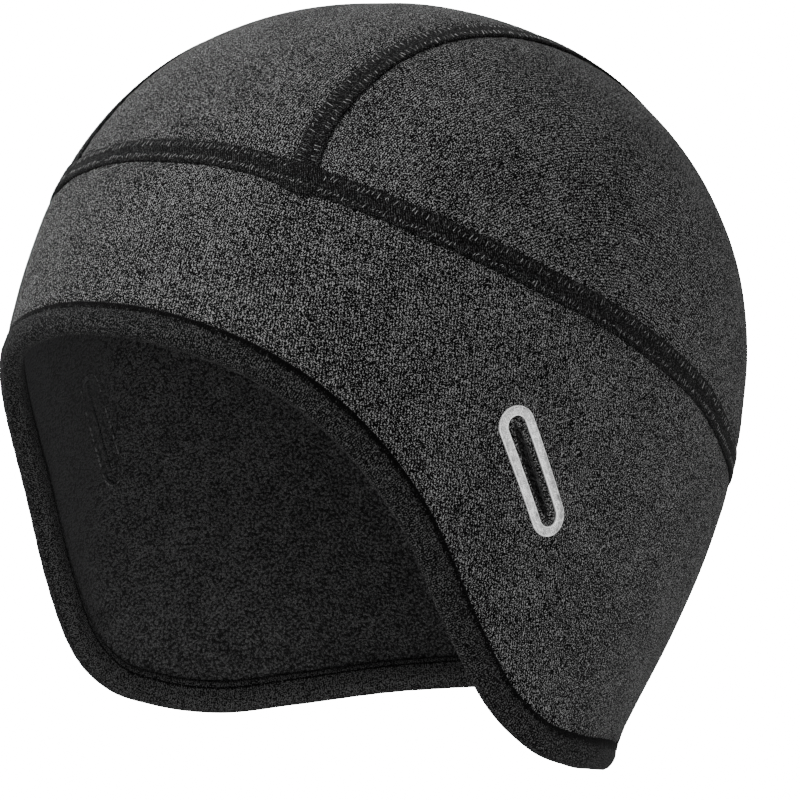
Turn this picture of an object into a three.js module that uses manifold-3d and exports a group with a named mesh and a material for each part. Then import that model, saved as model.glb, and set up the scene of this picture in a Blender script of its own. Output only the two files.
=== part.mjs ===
// Helmet liner cap: a close fitting knit cap that covers the crown, the ears and the nape.
// Three crown panels and one side band meet under flat seam strips, a fleece lining lies
// inside them, a folded binding holds the edge, and each temple has a slot for glasses.
// Units are millimetres. +Z is up, the wearer faces -Y and the wearer's left is +X.
// The origin is the highest point of the head, on the inner face of the lining.
// A bearing is an angle round the head from the front (0) over the left ear to the back.
// A drop is a height below the top of the outer skin.

import * as THREE from 'three';
import { mergeVertices } from 'three/addons/utils/BufferGeometryUtils.js';
import Module from 'manifold-3d';

// Plan of the head at its widest level: distance from the axis to the outer skin
const FRONT_REACH = 94.6;
const FRONT_QUARTER_REACH = 89.3;
const SIDE_REACH = 81.6;
const BACK_QUARTER_REACH = 92.7;
const BACK_REACH = 105.2;

// Height of the widest level below the top, and how fast the skin draws in under it
const FRONT_WIDEST_DROP = 114.3;
const SIDE_WIDEST_DROP = 63.7;
const BACK_WIDEST_DROP = 98.7;
const TAPER_RUN = 94.5;

// Seam and edge heights below the top
const FRONT_RING_DROP = 44.2;
const BACK_RING_DROP = 113.5;
const FRONT_EDGE_DROP = 89.4;
const FLAP_EDGE_DROP = 184.4;
const NAPE_EDGE_DROP = 170.0;
const LEFT_FLAP_SAG = 7.5;

// Cloth
const SHELL_CLOTH = 1.0;
const LINING_CLOTH = 1.4;
const BINDING_CLOTH = 1.0;
const CLEARANCE = 0.3;
const LINING_CLEARANCE = 0.5;

// Seam strips
const STRIP_WIDTH = 6.6;
const STRIP_CLOTH = 1.0;
const CROWN_SEAM_OFFSET = 40.0;

// Edge binding, measured along the cloth from the fold
const BINDING_OUTER_LEG = 6.2;
const BINDING_INNER_LEG = 6.8;
const BINDING_FOLD = 1.4;
const BINDING_CORNER = 1.7;
const BINDING_SHOULDER_SHARE = 0.25;

// Slot for glasses at each temple, and the flat loop round it
const SLOT_LENGTH = 28.9;
const SLOT_WIDTH = 5.2;
const SLOT_DROP = 113.6;
const SLOT_BEARING = THREE.MathUtils.degToRad(75.8);
const SLOT_LEAN = THREE.MathUtils.degToRad(29.8);
const LOOP_BAND = 2.5;
const LOOP_CLOTH = 0.8;

// Colour, roughness and metalness of each material
const FINISH = {
  heather: { color: 0x3d3e40, roughness: 0.95, metalness: 0 },
  seam: { color: 0x161617, roughness: 0.85, metalness: 0 },
  binding: { color: 0x1f2022, roughness: 0.9, metalness: 0 },
  fleece: { color: 0x19191b, roughness: 1, metalness: 0 },
  reflective: { color: 0xb8babc, roughness: 0.4, metalness: 0.35 },
};

// Shape of the dome in section: the power of its rounded top and its taper low down
const PROFILE = {
  front: { power: 1.9, taper: 0.24 },
  side: { power: 2.19, taper: 0.03 },
  back: { power: 1.88, taper: 0.38 },
};

// Line where the crown meets the side band, as a share of the way from the front
// ring drop (0) to the back ring drop (1)
const RING_LINE = [
  { bearing: 0, share: 0 },
  { bearing: 15, share: 0.01 },
  { bearing: 30, share: 0.061 },
  { bearing: 45, share: 0.141 },
  { bearing: 60, share: 0.245 },
  { bearing: 75, share: 0.349 },
  { bearing: 90, share: 0.444 },
  { bearing: 105, share: 0.557 },
  { bearing: 120, share: 0.684 },
  { bearing: 135, share: 0.845 },
  { bearing: 150, share: 0.95 },
  { bearing: 180, share: 1 },
];

// Lower edge of the cap: the parts that the front, flap and nape drops have in it
const EDGE_LINE = [
  { bearing: 0, front: 1, flap: 0, nape: 0 },
  { bearing: 15, front: 0.98, flap: 0.02, nape: 0 },
  { bearing: 30, front: 0.907, flap: 0.093, nape: 0 },
  { bearing: 42, front: 0.783, flap: 0.217, nape: 0 },
  { bearing: 54, front: 0.576, flap: 0.424, nape: 0 },
  { bearing: 64, front: 0.324, flap: 0.676, nape: 0 },
  { bearing: 72, front: 0.163, flap: 0.837, nape: 0 },
  { bearing: 82, front: 0.057, flap: 0.943, nape: 0 },
  { bearing: 94, front: 0.012, flap: 0.988, nape: 0 },
  { bearing: 108, front: 0, flap: 1, nape: 0 },
  { bearing: 124, front: 0, flap: 0.764, nape: 0.236 },
  { bearing: 150, front: 0, flap: 0.306, nape: 0.694 },
  { bearing: 180, front: 0, flap: 0, nape: 1 },
];

// How much of its sag the left flap has behind the ear, where it hangs below the right one
const SAG_LINE = [
  { bearing: 96, share: 0 },
  { bearing: 105, share: 0 },
  { bearing: 111, share: 0.12 },
  { bearing: 117, share: 0.36 },
  { bearing: 123, share: 0.64 },
  { bearing: 132, share: 0.93 },
  { bearing: 138, share: 1 },
  { bearing: 144, share: 0.93 },
  { bearing: 150, share: 0.75 },
  { bearing: 165, share: 0.27 },
  { bearing: 180, share: 0 },
  { bearing: 195, share: 0 },
];

// Sideways place of the two crown seams, as shares of the offset, from front end to back
// end. The crown sits a little turned on the head, so they are not each other's mirror image.
const CROWN_SEAM_LINE = [
  { along: 0, left: 1.01, right: 1.2 },
  { along: 0.06, left: 0.94, right: 1.22 },
  { along: 0.14, left: 0.918, right: 1.22 },
  { along: 0.25, left: 0.922, right: 1.18 },
  { along: 0.4, left: 0.985, right: 1.1 },
  { along: 0.5, left: 1.03, right: 1.08 },
  { along: 0.65, left: 1.05, right: 1.06 },
  { along: 0.82, left: 1.02, right: 1.02 },
  { along: 1, left: 0.96, right: 0.96 },
];

// Fineness of the facets
const COLUMNS_ROUND = 72;
const CROWN_ROWS_LINING = [0.3, 0.52, 0.7, 0.86];
const SKIRT_ROWS = [0, 0.26, 0.52, 0.77, 1];
const CENTRE_PANEL_ROWS = 24;
const CENTRE_PANEL_COLUMNS = 10;
const SIDE_PANEL_ROWS = 24;
const SIDE_PANEL_COLUMNS = 10;
const SEAM_STRIP_STEPS = 32;
const LOOP_ARC_STEPS = 8;
const LOOP_SIDE_STEPS = 3;

const TINY = 1e-3;
const EQUAL_WITHIN = 1e-4;
const EDGE_MEASURES = 720;
const HALVINGS = 40;
const LINING_OUTSIDE = SHELL_CLOTH + LINING_CLEARANCE;
const WALL = LINING_OUTSIDE + LINING_CLOTH;
const HEM_RISE = BINDING_FOLD + CLEARANCE;
const BINDING_ROW_RISE = Math.max(BINDING_OUTER_LEG, BINDING_INNER_LEG) + CLEARANCE;
const STRIP_INSIDE = CLEARANCE;
const STRIP_OUTSIDE = CLEARANCE + STRIP_CLOTH;
const PANEL_EDGE = CLEARANCE / 2;

const lerp = THREE.MathUtils.lerp;

// A smooth even curve of the bearing through values at the front, side and back
function evenCurveOfThree(front, side, back) {
  const ends = (front + back) / 2;
  const mean = (ends + side) / 2;
  const once = (front - back) / 2;
  const twice = (ends - side) / 2;
  return (bearing) => mean + once * Math.cos(bearing) + twice * Math.cos(2 * bearing);
}

// The same through five values, an eighth of a turn apart
function evenCurveOfFive(front, frontQuarter, side, backQuarter, back) {
  const ends = (front + back) / 2;
  const quarters = (frontQuarter + backQuarter) / 2;
  const middle = (ends + side) / 2;
  const mean = (middle + quarters) / 2;
  const twice = (ends - side) / 2;
  const fourTimes = (middle - quarters) / 2;
  const endSlant = (front - back) / 2;
  const quarterSlant = (frontQuarter - backQuarter) / Math.SQRT2;
  const once = (endSlant + quarterSlant) / 2;
  const thrice = (endSlant - quarterSlant) / 2;
  return (bearing) =>
    mean +
    once * Math.cos(bearing) +
    twice * Math.cos(2 * bearing) +
    thrice * Math.cos(3 * bearing) +
    fourTimes * Math.cos(4 * bearing);
}

const planReach = evenCurveOfFive(
  FRONT_REACH, FRONT_QUARTER_REACH, SIDE_REACH, BACK_QUARTER_REACH, BACK_REACH);
const widestDrop = evenCurveOfThree(FRONT_WIDEST_DROP, SIDE_WIDEST_DROP, BACK_WIDEST_DROP);
const domePower = evenCurveOfThree(PROFILE.front.power, PROFILE.side.power, PROFILE.back.power);
const taper = evenCurveOfThree(PROFILE.front.taper, PROFILE.side.taper, PROFILE.back.taper);

// Slope at each knot of a curve: that of the parabola through it and its neighbours
function knotSlopes(places, values) {
  const steps = places.slice(1).map((place, i) => place - places[i]);
  const rates = steps.map((step, i) => (values[i + 1] - values[i]) / step);
  return places.map((_, i) => {
    if (i === 0) return rates[0];
    if (i === rates.length) return rates[i - 1];
    return (steps[i] * rates[i - 1] + steps[i - 1] * rates[i]) / (steps[i - 1] + steps[i]);
  });
}

// A smooth curve through a short table
function smoothCurve(places, values) {
  const slopes = knotSlopes(places, values);
  return (place) => {
    const held = THREE.MathUtils.clamp(place, places[0], places[places.length - 1]);
    let i = 0;
    while (i < places.length - 2 && held > places[i + 1]) i += 1;
    const step = places[i + 1] - places[i];
    const t = (held - places[i]) / step;
    const rise = (1 - t) * (1 - t);
    return (
      values[i] * rise * (1 + 2 * t) +
      slopes[i] * step * rise * t +
      values[i + 1] * t * t * (3 - 2 * t) +
      slopes[i + 1] * step * t * t * (t - 1)
    );
  };
}

// A line round the head from a table for its left half: level in front and behind
function lineRoundHead(rows, dropOf) {
  const places = rows.map((row) => THREE.MathUtils.degToRad(row.bearing));
  const drops = rows.map(dropOf);
  const inner = [...places.keys()].slice(1, -1);
  const before = inner.map((i) => -places[i]).reverse();
  const after = inner.map((i) => 2 * Math.PI - places[i]).reverse();
  const twins = inner.map((i) => drops[i]).reverse();
  const curve = smoothCurve(
    [...before, ...places, ...after],
    [...twins, ...drops, ...twins],
  );
  return (bearing) => {
    const turned = THREE.MathUtils.euclideanModulo(bearing, 2 * Math.PI);
    return curve(turned > Math.PI ? 2 * Math.PI - turned : turned);
  };
}

const ringDrop = lineRoundHead(RING_LINE, (row) => lerp(FRONT_RING_DROP, BACK_RING_DROP, row.share));
const evenEdgeDrop = lineRoundHead(
  EDGE_LINE,
  (row) => row.front * FRONT_EDGE_DROP + row.flap * FLAP_EDGE_DROP + row.nape * NAPE_EDGE_DROP,
);
const leftSag = smoothCurve(
  SAG_LINE.map((row) => THREE.MathUtils.degToRad(row.bearing)),
  SAG_LINE.map((row) => row.share * LEFT_FLAP_SAG),
);
const edgeDrop = (bearing) =>
  evenEdgeDrop(bearing) + leftSag(THREE.MathUtils.euclideanModulo(bearing, 2 * Math.PI));
const crownSeamCurve = (side) => smoothCurve(
  CROWN_SEAM_LINE.map((row) => row.along),
  CROWN_SEAM_LINE.map((row) => row[side] * CROWN_SEAM_OFFSET),
);
const crownSeamOffset = { left: crownSeamCurve('left'), right: crownSeamCurve('right') };

// Share of the plan's reach that the skin has at a drop
function profileShare(bearing, drop) {
  const climb = 1 - Math.min(drop / widestDrop(bearing), 1);
  const power = domePower(bearing);
  const dome = (1 - climb ** power) ** (1 / power);
  const below = Math.max(drop - widestDrop(bearing), 0) / TAPER_RUN;
  return dome - taper(bearing) * below * below;
}

function skinPoint(bearing, drop) {
  const reach = planReach(bearing) * profileShare(bearing, drop);
  return new THREE.Vector3(reach * Math.sin(bearing), -reach * Math.cos(bearing), WALL - drop);
}

// The two directions in which the skin runs at a place, per radian and per millimetre
function skinRates(bearing, drop) {
  const step = Math.min(TINY, drop * TINY);
  const round = skinPoint(bearing + TINY, drop).sub(skinPoint(bearing - TINY, drop));
  const down = skinPoint(bearing, drop + step).sub(skinPoint(bearing, drop - step));
  return { round: round.divideScalar(2 * TINY), down: down.divideScalar(2 * step) };
}

function skinNormal(bearing, drop) {
  if (drop < TINY * TINY) return new THREE.Vector3(0, 0, 1);
  const { round, down } = skinRates(bearing, drop);
  return down.cross(round).normalize();
}

// A point of the skin, or of a layer that lies a little outside or inside it
function layerPoint(bearing, drop, outward) {
  return skinPoint(bearing, drop).addScaledVector(skinNormal(bearing, drop), outward);
}

// The bearing and drop of a place a given way above a line that runs in the skin
function placeAbove(bearing, drop, lineBearing, lineDrop, rise) {
  const { round, down } = skinRates(bearing, drop);
  const along = round.clone().multiplyScalar(lineBearing).addScaledVector(down, lineDrop);
  const up = skinNormal(bearing, drop).cross(along).normalize();
  const roundRound = round.dot(round);
  const roundDown = round.dot(down);
  const downDown = down.dot(down);
  const spread = roundRound * downDown - roundDown * roundDown;
  const upRound = up.dot(round);
  const upDown = up.dot(down);
  return {
    bearing: bearing + (rise * (upRound * downDown - upDown * roundDown)) / spread,
    drop: drop + (rise * (upDown * roundRound - upRound * roundDown)) / spread,
  };
}

function placeAboveLine(lineDrop, bearing, rise) {
  const slope = (lineDrop(bearing + TINY) - lineDrop(bearing - TINY)) / (2 * TINY);
  return placeAbove(bearing, lineDrop(bearing), 1, slope, rise);
}

// Bearings that share the cap's edge out in even lengths
function evenBearings(count) {
  const step = (2 * Math.PI) / EDGE_MEASURES;
  const edgePoint = (i) => skinPoint(i * step, edgeDrop(i * step));
  const lengths = [0];
  for (let i = 1; i <= EDGE_MEASURES; i += 1) {
    lengths.push(lengths[i - 1] + edgePoint(i - 1).distanceTo(edgePoint(i)));
  }
  return Array.from({ length: count }, (_, column) => {
    const wanted = (lengths[EDGE_MEASURES] * column) / count;
    const i = Math.max(1, lengths.findIndex((length) => length >= wanted));
    const t = (wanted - lengths[i - 1]) / (lengths[i] - lengths[i - 1]);
    return (i - 1 + t) * step;
  });
}

const BEARINGS = evenBearings(COLUMNS_ROUND);

// The crown as a disc: its middle is the top of the head and its rim is the ring line,
// or a line a little above it
function crownPlace(x, y, rimRise) {
  const bearing = Math.atan2(x, -y);
  const share = x * x + y * y;
  return { bearing, drop: share * (ringDrop(bearing) - rimRise) };
}

function crownPoint(x, y, rimRise, outward) {
  const place = crownPlace(x, y, rimRise);
  return layerPoint(place.bearing, place.drop, outward);
}

// The least value between two ends at which a rising function passes zero
function crossing(rising, low, high) {
  let below = low;
  let above = high;
  for (let i = 0; i < HALVINGS; i += 1) {
    const middle = (below + above) / 2;
    if (rising(middle) < 0) below = middle;
    else above = middle;
  }
  return (below + above) / 2;
}

// Bearing, away from the front on its own side, at which a crown seam meets the ring line
function junctionBearing(side, atBack, shift) {
  const offset = crownSeamOffset[side](atBack ? 1 : 0) + shift;
  const aside = (turn) => {
    const bearing = atBack ? Math.PI - turn : turn;
    return skinPoint(bearing, ringDrop(bearing)).x - offset;
  };
  const turn = crossing(aside, 0, Math.PI / 2);
  return atBack ? Math.PI - turn : turn;
}

// A crown seam on the crown's disc, or a line beside it. The right one is laid out on the
// left, as all right pieces are, and mirrored later.
function crownSeamOnDisc(side, shift, rimRise) {
  const frontBearing = junctionBearing(side, false, shift);
  const backBearing = junctionBearing(side, true, shift);
  const frontY = -Math.cos(frontBearing);
  const backY = -Math.cos(backBearing);
  const at = (along) => {
    if (along <= 0) return { x: Math.sin(frontBearing), y: frontY };
    if (along >= 1) return { x: Math.sin(backBearing), y: backY };
    const y = lerp(frontY, backY, along);
    const reach = Math.sqrt(1 - y * y);
    const offset = crownSeamOffset[side](along) + shift;
    return { x: crossing((x) => crownPoint(x, y, rimRise, 0).x - offset, 0, reach), y };
  };
  return { at, frontBearing, backBearing };
}

// A closed solid through rings of points, either all the way round or capped at both ends.
// Each four-sided facet is split along its shorter diagonal.
function loft(rings, closed) {
  const size = rings[0].length;
  const points = rings.flat();
  const positions = points.flatMap((point) => [point.x, point.y, point.z]);
  const faces = [];
  const quad = (a, b, c, d) => {
    const first = points[a].distanceTo(points[c]);
    const second = points[b].distanceTo(points[d]);
    if (first <= second) faces.push(a, b, c, a, c, d);
    else faces.push(b, c, d, b, d, a);
  };
  const spans = closed ? rings.length : rings.length - 1;
  for (let i = 0; i < spans; i += 1) {
    const here = i * size;
    const next = ((i + 1) % rings.length) * size;
    for (let j = 0; j < size; j += 1) {
      const side = (j + 1) % size;
      quad(here + j, here + side, next + side, next + j);
    }
  }
  if (!closed) {
    const last = (rings.length - 1) * size;
    for (let j = 0; j < size / 2 - 1; j += 1) {
      quad(size - 1 - j, size - 2 - j, j + 1, j);
      quad(last + j, last + j + 1, last + size - 2 - j, last + size - 1 - j);
    }
  }
  return closedGeometry(positions, faces);
}

// Joins equal corners, drops faces without area and turns the faces outward
function closedGeometry(positions, faces) {
  const loose = new THREE.BufferGeometry();
  loose.setAttribute('position', new THREE.Float32BufferAttribute(positions, 3));
  loose.setIndex(faces);
  const joined = mergeVertices(loose, EQUAL_WITHIN);
  const index = [...joined.index.array];
  const kept = [];
  for (let i = 0; i < index.length; i += 3) {
    const [a, b, c] = index.slice(i, i + 3);
    if (a !== b && b !== c && c !== a) kept.push(a, b, c);
  }
  joined.setIndex(signedVolume(joined, kept) < 0 ? kept.reverse() : kept);
  return joined;
}

function signedVolume(geometry, index) {
  const corner = (i) => new THREE.Vector3().fromBufferAttribute(geometry.attributes.position, index[i]);
  let sixfold = 0;
  for (let i = 0; i < index.length; i += 3) {
    sixfold += corner(i).dot(corner(i + 1).cross(corner(i + 2)));
  }
  return sixfold / 6;
}

function mirrored(geometry) {
  const copy = geometry.clone();
  copy.scale(-1, 1, 1);
  copy.setIndex([...copy.index.array].reverse());
  return copy;
}

// Solids that can be cut
const solids = await Module();
solids.setup();

function toSolid(geometry) {
  return new solids.Manifold(new solids.Mesh({
    numProp: 3,
    vertProperties: new Float32Array(geometry.attributes.position.array),
    triVerts: new Uint32Array(geometry.index.array),
  }));
}

function toGeometry(solid) {
  const mesh = solid.getMesh();
  return closedGeometry([...mesh.vertProperties], [...mesh.triVerts]);
}

function cutBy(geometry, cutters) {
  const left = cutters.reduce((solid, cutter) => solid.subtract(toSolid(cutter)), toSolid(geometry));
  return toGeometry(left);
}

// The places of one column of the skirt, from the ring line down to the hem
function skirtColumn(bearing, topRise) {
  const top = { bearing, drop: ringDrop(bearing) + topRise };
  const row = placeAboveLine(edgeDrop, bearing, BINDING_ROW_RISE);
  const hem = placeAboveLine(edgeDrop, bearing, HEM_RISE);
  const places = SKIRT_ROWS.map((share) => ({
    bearing: lerp(top.bearing, row.bearing, share),
    drop: lerp(top.drop, row.drop, share),
  }));
  return [...places, hem];
}

// A ring of points round a wall of cloth: down its outside and up its inside
function wallRing(places, outside, inside) {
  const down = places.map((place) => layerPoint(place.bearing, place.drop, outside));
  const up = places.map((place) => layerPoint(place.bearing, place.drop, inside)).reverse();
  return [...down, ...up];
}

// Outline of a slot or loop with round ends, in steps along it
function slotOutline(length, width) {
  const radius = width / 2;
  const straight = length / 2 - radius;
  const half = [];
  for (let i = 0; i <= LOOP_ARC_STEPS; i += 1) {
    const angle = (Math.PI * i) / LOOP_ARC_STEPS;
    half.push({ along: straight + radius * Math.sin(angle), across: radius * Math.cos(angle) });
  }
  for (let i = 1; i < LOOP_SIDE_STEPS; i += 1) {
    half.push({ along: lerp(straight, -straight, i / LOOP_SIDE_STEPS), across: -radius });
  }
  return [...half, ...half.map((point) => ({ along: -point.along, across: -point.across }))];
}

// A place on the left temple in the slot's own directions
function slotPoint(along, across, outward) {
  const { round, down } = skinRates(SLOT_BEARING, SLOT_DROP);
  const backward = along * Math.sin(SLOT_LEAN) + across * Math.cos(SLOT_LEAN);
  const downward = along * Math.cos(SLOT_LEAN) - across * Math.sin(SLOT_LEAN);
  const bearing = SLOT_BEARING + backward / round.length();
  return layerPoint(bearing, SLOT_DROP + downward / down.length(), outward);
}

function slotCutter() {
  const outline = slotOutline(SLOT_LENGTH, SLOT_WIDTH);
  const outside = CLEARANCE;
  const inside = -WALL - CLEARANCE;
  const sections = [outside, inside].map((outward) =>
    outline.map((point) => slotPoint(point.along, point.across, outward)));
  const centres = [slotPoint(0, 0, outside), slotPoint(0, 0, inside)];
  const size = outline.length;
  const positions = [...sections.flat(), ...centres].flatMap((point) => [point.x, point.y, point.z]);
  const faces = [];
  for (let j = 0; j < size; j += 1) {
    const side = (j + 1) % size;
    faces.push(j, side, size + side, j, size + side, size + j);
    faces.push(2 * size, side, j);
    faces.push(2 * size + 1, size + j, size + side);
  }
  return closedGeometry(positions, faces);
}

// Middle crown panel, between the two crown seams
function crownCentre() {
  const left = crownSeamOnDisc('left', -PANEL_EDGE, PANEL_EDGE);
  const right = crownSeamOnDisc('right', -PANEL_EDGE, PANEL_EDGE);
  const across = (along, share) => lerp(-right.at(along).x, left.at(along).x, share);
  const rings = [];
  for (let i = 0; i <= CENTRE_PANEL_ROWS; i += 1) {
    const along = i / CENTRE_PANEL_ROWS;
    const places = [];
    for (let j = 0; j <= CENTRE_PANEL_COLUMNS; j += 1) {
      const share = j / CENTRE_PANEL_COLUMNS;
      const frontY = -Math.sqrt(1 - across(0, share) ** 2);
      const backY = Math.sqrt(1 - across(1, share) ** 2);
      places.push(crownPlace(across(along, share), lerp(frontY, backY, along), PANEL_EDGE));
    }
    rings.push(wallRing(places, 0, -SHELL_CLOTH));
  }
  return loft(rings, false);
}

// Side panel of the crown, between a crown seam and the ring line
function crownSide(side) {
  const seam = crownSeamOnDisc(side, PANEL_EDGE, PANEL_EDGE);
  const rings = [];
  for (let i = 0; i <= SIDE_PANEL_ROWS; i += 1) {
    const along = i / SIDE_PANEL_ROWS;
    const inner = seam.at(along);
    const bearing = lerp(seam.frontBearing, seam.backBearing, along);
    const places = [];
    for (let j = 0; j <= SIDE_PANEL_COLUMNS; j += 1) {
      const share = j / SIDE_PANEL_COLUMNS;
      const x = lerp(inner.x, Math.sin(bearing), share);
      const y = lerp(inner.y, -Math.cos(bearing), share);
      places.push(crownPlace(x, y, PANEL_EDGE));
    }
    rings.push(wallRing(places, 0, -SHELL_CLOTH));
  }
  return loft(rings, false);
}

// Band below the ring line, with the brow, both ear flaps and the nape in one piece
function sideBand() {
  const rings = BEARINGS.map((bearing) =>
    wallRing(skirtColumn(bearing, PANEL_EDGE), 0, -SHELL_CLOTH));
  return loft(rings, true);
}

// Lining of the whole cap
function fleeceLining() {
  const rings = BEARINGS.map((bearing) => {
    const crown = [0, ...CROWN_ROWS_LINING].map((share) => ({
      bearing,
      drop: share * share * ringDrop(bearing),
    }));
    return wallRing([...crown, ...skirtColumn(bearing, 0)], -LINING_OUTSIDE, -WALL);
  });
  return loft(rings, true);
}

// Strip over the ring line, or the room that it takes with a clearance round it
function ringStrip(grown) {
  const half = STRIP_WIDTH / 2 + grown;
  const outside = STRIP_OUTSIDE + grown;
  const inside = STRIP_INSIDE - grown;
  const rings = BEARINGS.map((bearing) => {
    const upper = placeAboveLine(ringDrop, bearing, half);
    const lower = placeAboveLine(ringDrop, bearing, -half);
    return wallRing([upper, lower], outside, inside);
  });
  return loft(rings, true);
}

// Strip over a crown seam, ending against the ring strip
function crownSeamStrip(side, ringRoom) {
  const seam = crownSeamOnDisc(side, 0, 0);
  const placeAt = (along) => {
    const point = seam.at(along);
    return crownPlace(point.x, point.y, 0);
  };
  const rings = [];
  for (let i = 0; i <= SEAM_STRIP_STEPS; i += 1) {
    const along = i / SEAM_STRIP_STEPS;
    const place = placeAt(along);
    const before = placeAt(Math.max(along - TINY, 0));
    const after = placeAt(Math.min(along + TINY, 1));
    const edge = (rise) => placeAbove(
      place.bearing, place.drop, after.bearing - before.bearing, after.drop - before.drop, rise);
    rings.push(wallRing([edge(STRIP_WIDTH / 2), edge(-STRIP_WIDTH / 2)], STRIP_OUTSIDE, STRIP_INSIDE));
  }
  return cutBy(loft(rings, false), [ringRoom]);
}

// Section of the folded binding: rise along the cloth from the fold, and outward place
function bindingSection() {
  const outerFace = CLEARANCE;
  const innerFace = -WALL - CLEARANCE;
  const outside = outerFace + BINDING_CLOTH;
  const inside = innerFace - BINDING_CLOTH;
  const middle = (outside + inside) / 2;
  const shoulder = (outside - inside) * BINDING_SHOULDER_SHARE;
  const low = BINDING_CORNER * BINDING_SHOULDER_SHARE;
  return [
    { rise: BINDING_OUTER_LEG, outward: outerFace },
    { rise: BINDING_OUTER_LEG, outward: outside },
    { rise: BINDING_CORNER, outward: outside },
    { rise: low, outward: middle + shoulder },
    { rise: 0, outward: middle },
    { rise: low, outward: middle - shoulder },
    { rise: BINDING_CORNER, outward: inside },
    { rise: BINDING_INNER_LEG, outward: inside },
    { rise: BINDING_INNER_LEG, outward: innerFace },
    { rise: BINDING_FOLD, outward: innerFace },
    { rise: BINDING_FOLD, outward: outerFace },
  ];
}

// Binding folded over the hems of the band and the lining
function edgeBinding() {
  const section = bindingSection();
  const rings = BEARINGS.map((bearing) =>
    section.map(({ rise, outward }) => {
      const place = placeAboveLine(edgeDrop, bearing, rise);
      return layerPoint(place.bearing, place.drop, outward);
    }));
  return loft(rings, true);
}

// Flat loop round the left slot
function slotLoop() {
  const inner = slotOutline(SLOT_LENGTH, SLOT_WIDTH);
  const outer = slotOutline(SLOT_LENGTH + 2 * LOOP_BAND, SLOT_WIDTH + 2 * LOOP_BAND);
  const inside = CLEARANCE;
  const outside = CLEARANCE + LOOP_CLOTH;
  const rings = inner.map((point, i) => [
    slotPoint(point.along, point.across, inside),
    slotPoint(point.along, point.across, outside),
    slotPoint(outer[i].along, outer[i].across, outside),
    slotPoint(outer[i].along, outer[i].across, inside),
  ]);
  return loft(rings, true);
}

const cap = new THREE.Group();

function addPiece(name, geometry, finish) {
  const piece = new THREE.Mesh(geometry, new THREE.MeshStandardMaterial(FINISH[finish]));
  piece.name = name;
  cap.add(piece);
}

// Adds a left piece and its fellow on the right
function addPair(name, pieceOf, finish) {
  addPiece(`${name}_left`, pieceOf('left'), finish);
  addPiece(`${name}_right`, mirrored(pieceOf('right')), finish);
}

const leftSlot = slotCutter();
const slots = [leftSlot, mirrored(leftSlot)];
const ringRoom = ringStrip(CLEARANCE);

addPiece('crown_centre', crownCentre(), 'heather');
addPair('crown_side', crownSide, 'heather');
addPiece('side_band', cutBy(sideBand(), slots), 'heather');
addPiece('fleece_lining', cutBy(fleeceLining(), slots), 'fleece');
addPiece('ring_seam_strip', ringStrip(0), 'seam');
addPair('crown_seam_strip', (side) => crownSeamStrip(side, ringRoom), 'seam');
addPiece('edge_binding', edgeBinding(), 'binding');
addPair('slot_loop', slotLoop, 'reflective');

export default cap;
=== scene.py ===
"""Looks of the helmet liner cap: heather knit panels, seam tapes, fleece, binding and loops.

Lengths in the size fields are millimetres and turn into metres when a mesh is made.
A bearing is an angle round the head from the front over the left ear to the back, and a
drop is a depth below the top of the outer skin. Outward is a height above that skin, and
rise is a distance above a line that runs in it. Places are bearings with their drops.
"""

import logging
import math
from dataclasses import dataclass, field
from enum import Enum
from typing import Callable, Iterable, Sequence

import bpy
import numpy as np
from mathutils import Matrix, Vector, noise


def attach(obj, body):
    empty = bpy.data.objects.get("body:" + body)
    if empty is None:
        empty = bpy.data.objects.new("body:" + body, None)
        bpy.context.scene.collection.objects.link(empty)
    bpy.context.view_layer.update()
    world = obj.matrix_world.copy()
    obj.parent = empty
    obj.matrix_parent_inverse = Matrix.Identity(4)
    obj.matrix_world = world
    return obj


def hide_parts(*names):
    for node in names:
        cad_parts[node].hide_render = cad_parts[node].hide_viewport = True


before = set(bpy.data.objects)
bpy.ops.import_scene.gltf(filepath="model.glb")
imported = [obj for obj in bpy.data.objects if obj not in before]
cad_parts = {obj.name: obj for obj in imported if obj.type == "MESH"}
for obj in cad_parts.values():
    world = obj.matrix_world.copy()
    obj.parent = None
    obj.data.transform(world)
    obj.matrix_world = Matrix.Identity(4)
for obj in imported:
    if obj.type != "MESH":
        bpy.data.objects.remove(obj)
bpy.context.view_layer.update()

log = logging.getLogger("cap")

Curve = Callable[[np.ndarray], np.ndarray]
Places = tuple[np.ndarray, np.ndarray]
Stops = Sequence[tuple[float, float]]
MM = 0.001
TINY = 1e-3
BODY = "root"


class Slot(Enum):
    """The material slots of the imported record."""

    HEATHER = "heather_jersey"
    TAPE = "seam_thread"
    BINDING = "binding_knit"
    FLEECE = "fleece"
    FILM = "reflective_film"


class Side(Enum):
    """A side of the wearer, with the sign of its X."""

    LEFT = 1
    RIGHT = -1

    @property
    def label(self) -> str:
        """The word that ends the names of this side's pieces."""
        return self.name.lower()


# ---------------------------------------------------------------- the skin of the cap


@dataclass(frozen=True)
class EvenCurve:
    """A smooth curve of the bearing, the same on both sides of the head.

    Args:
        values: its values from the front to the back, at even steps.
    """

    values: tuple[float, ...]

    def __call__(self, bearing: np.ndarray) -> np.ndarray:
        """The value at each bearing.

        Args:
            bearing: bearings, in radians.

        Returns:
            The values there.
        """
        orders = np.arange(len(self.values))
        knots = orders * math.pi / orders[-1]
        weights = np.linalg.solve(np.cos(np.outer(knots, orders)), np.array(self.values))
        return sum(w * np.cos(k * np.asarray(bearing)) for k, w in zip(orders, weights))


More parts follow.
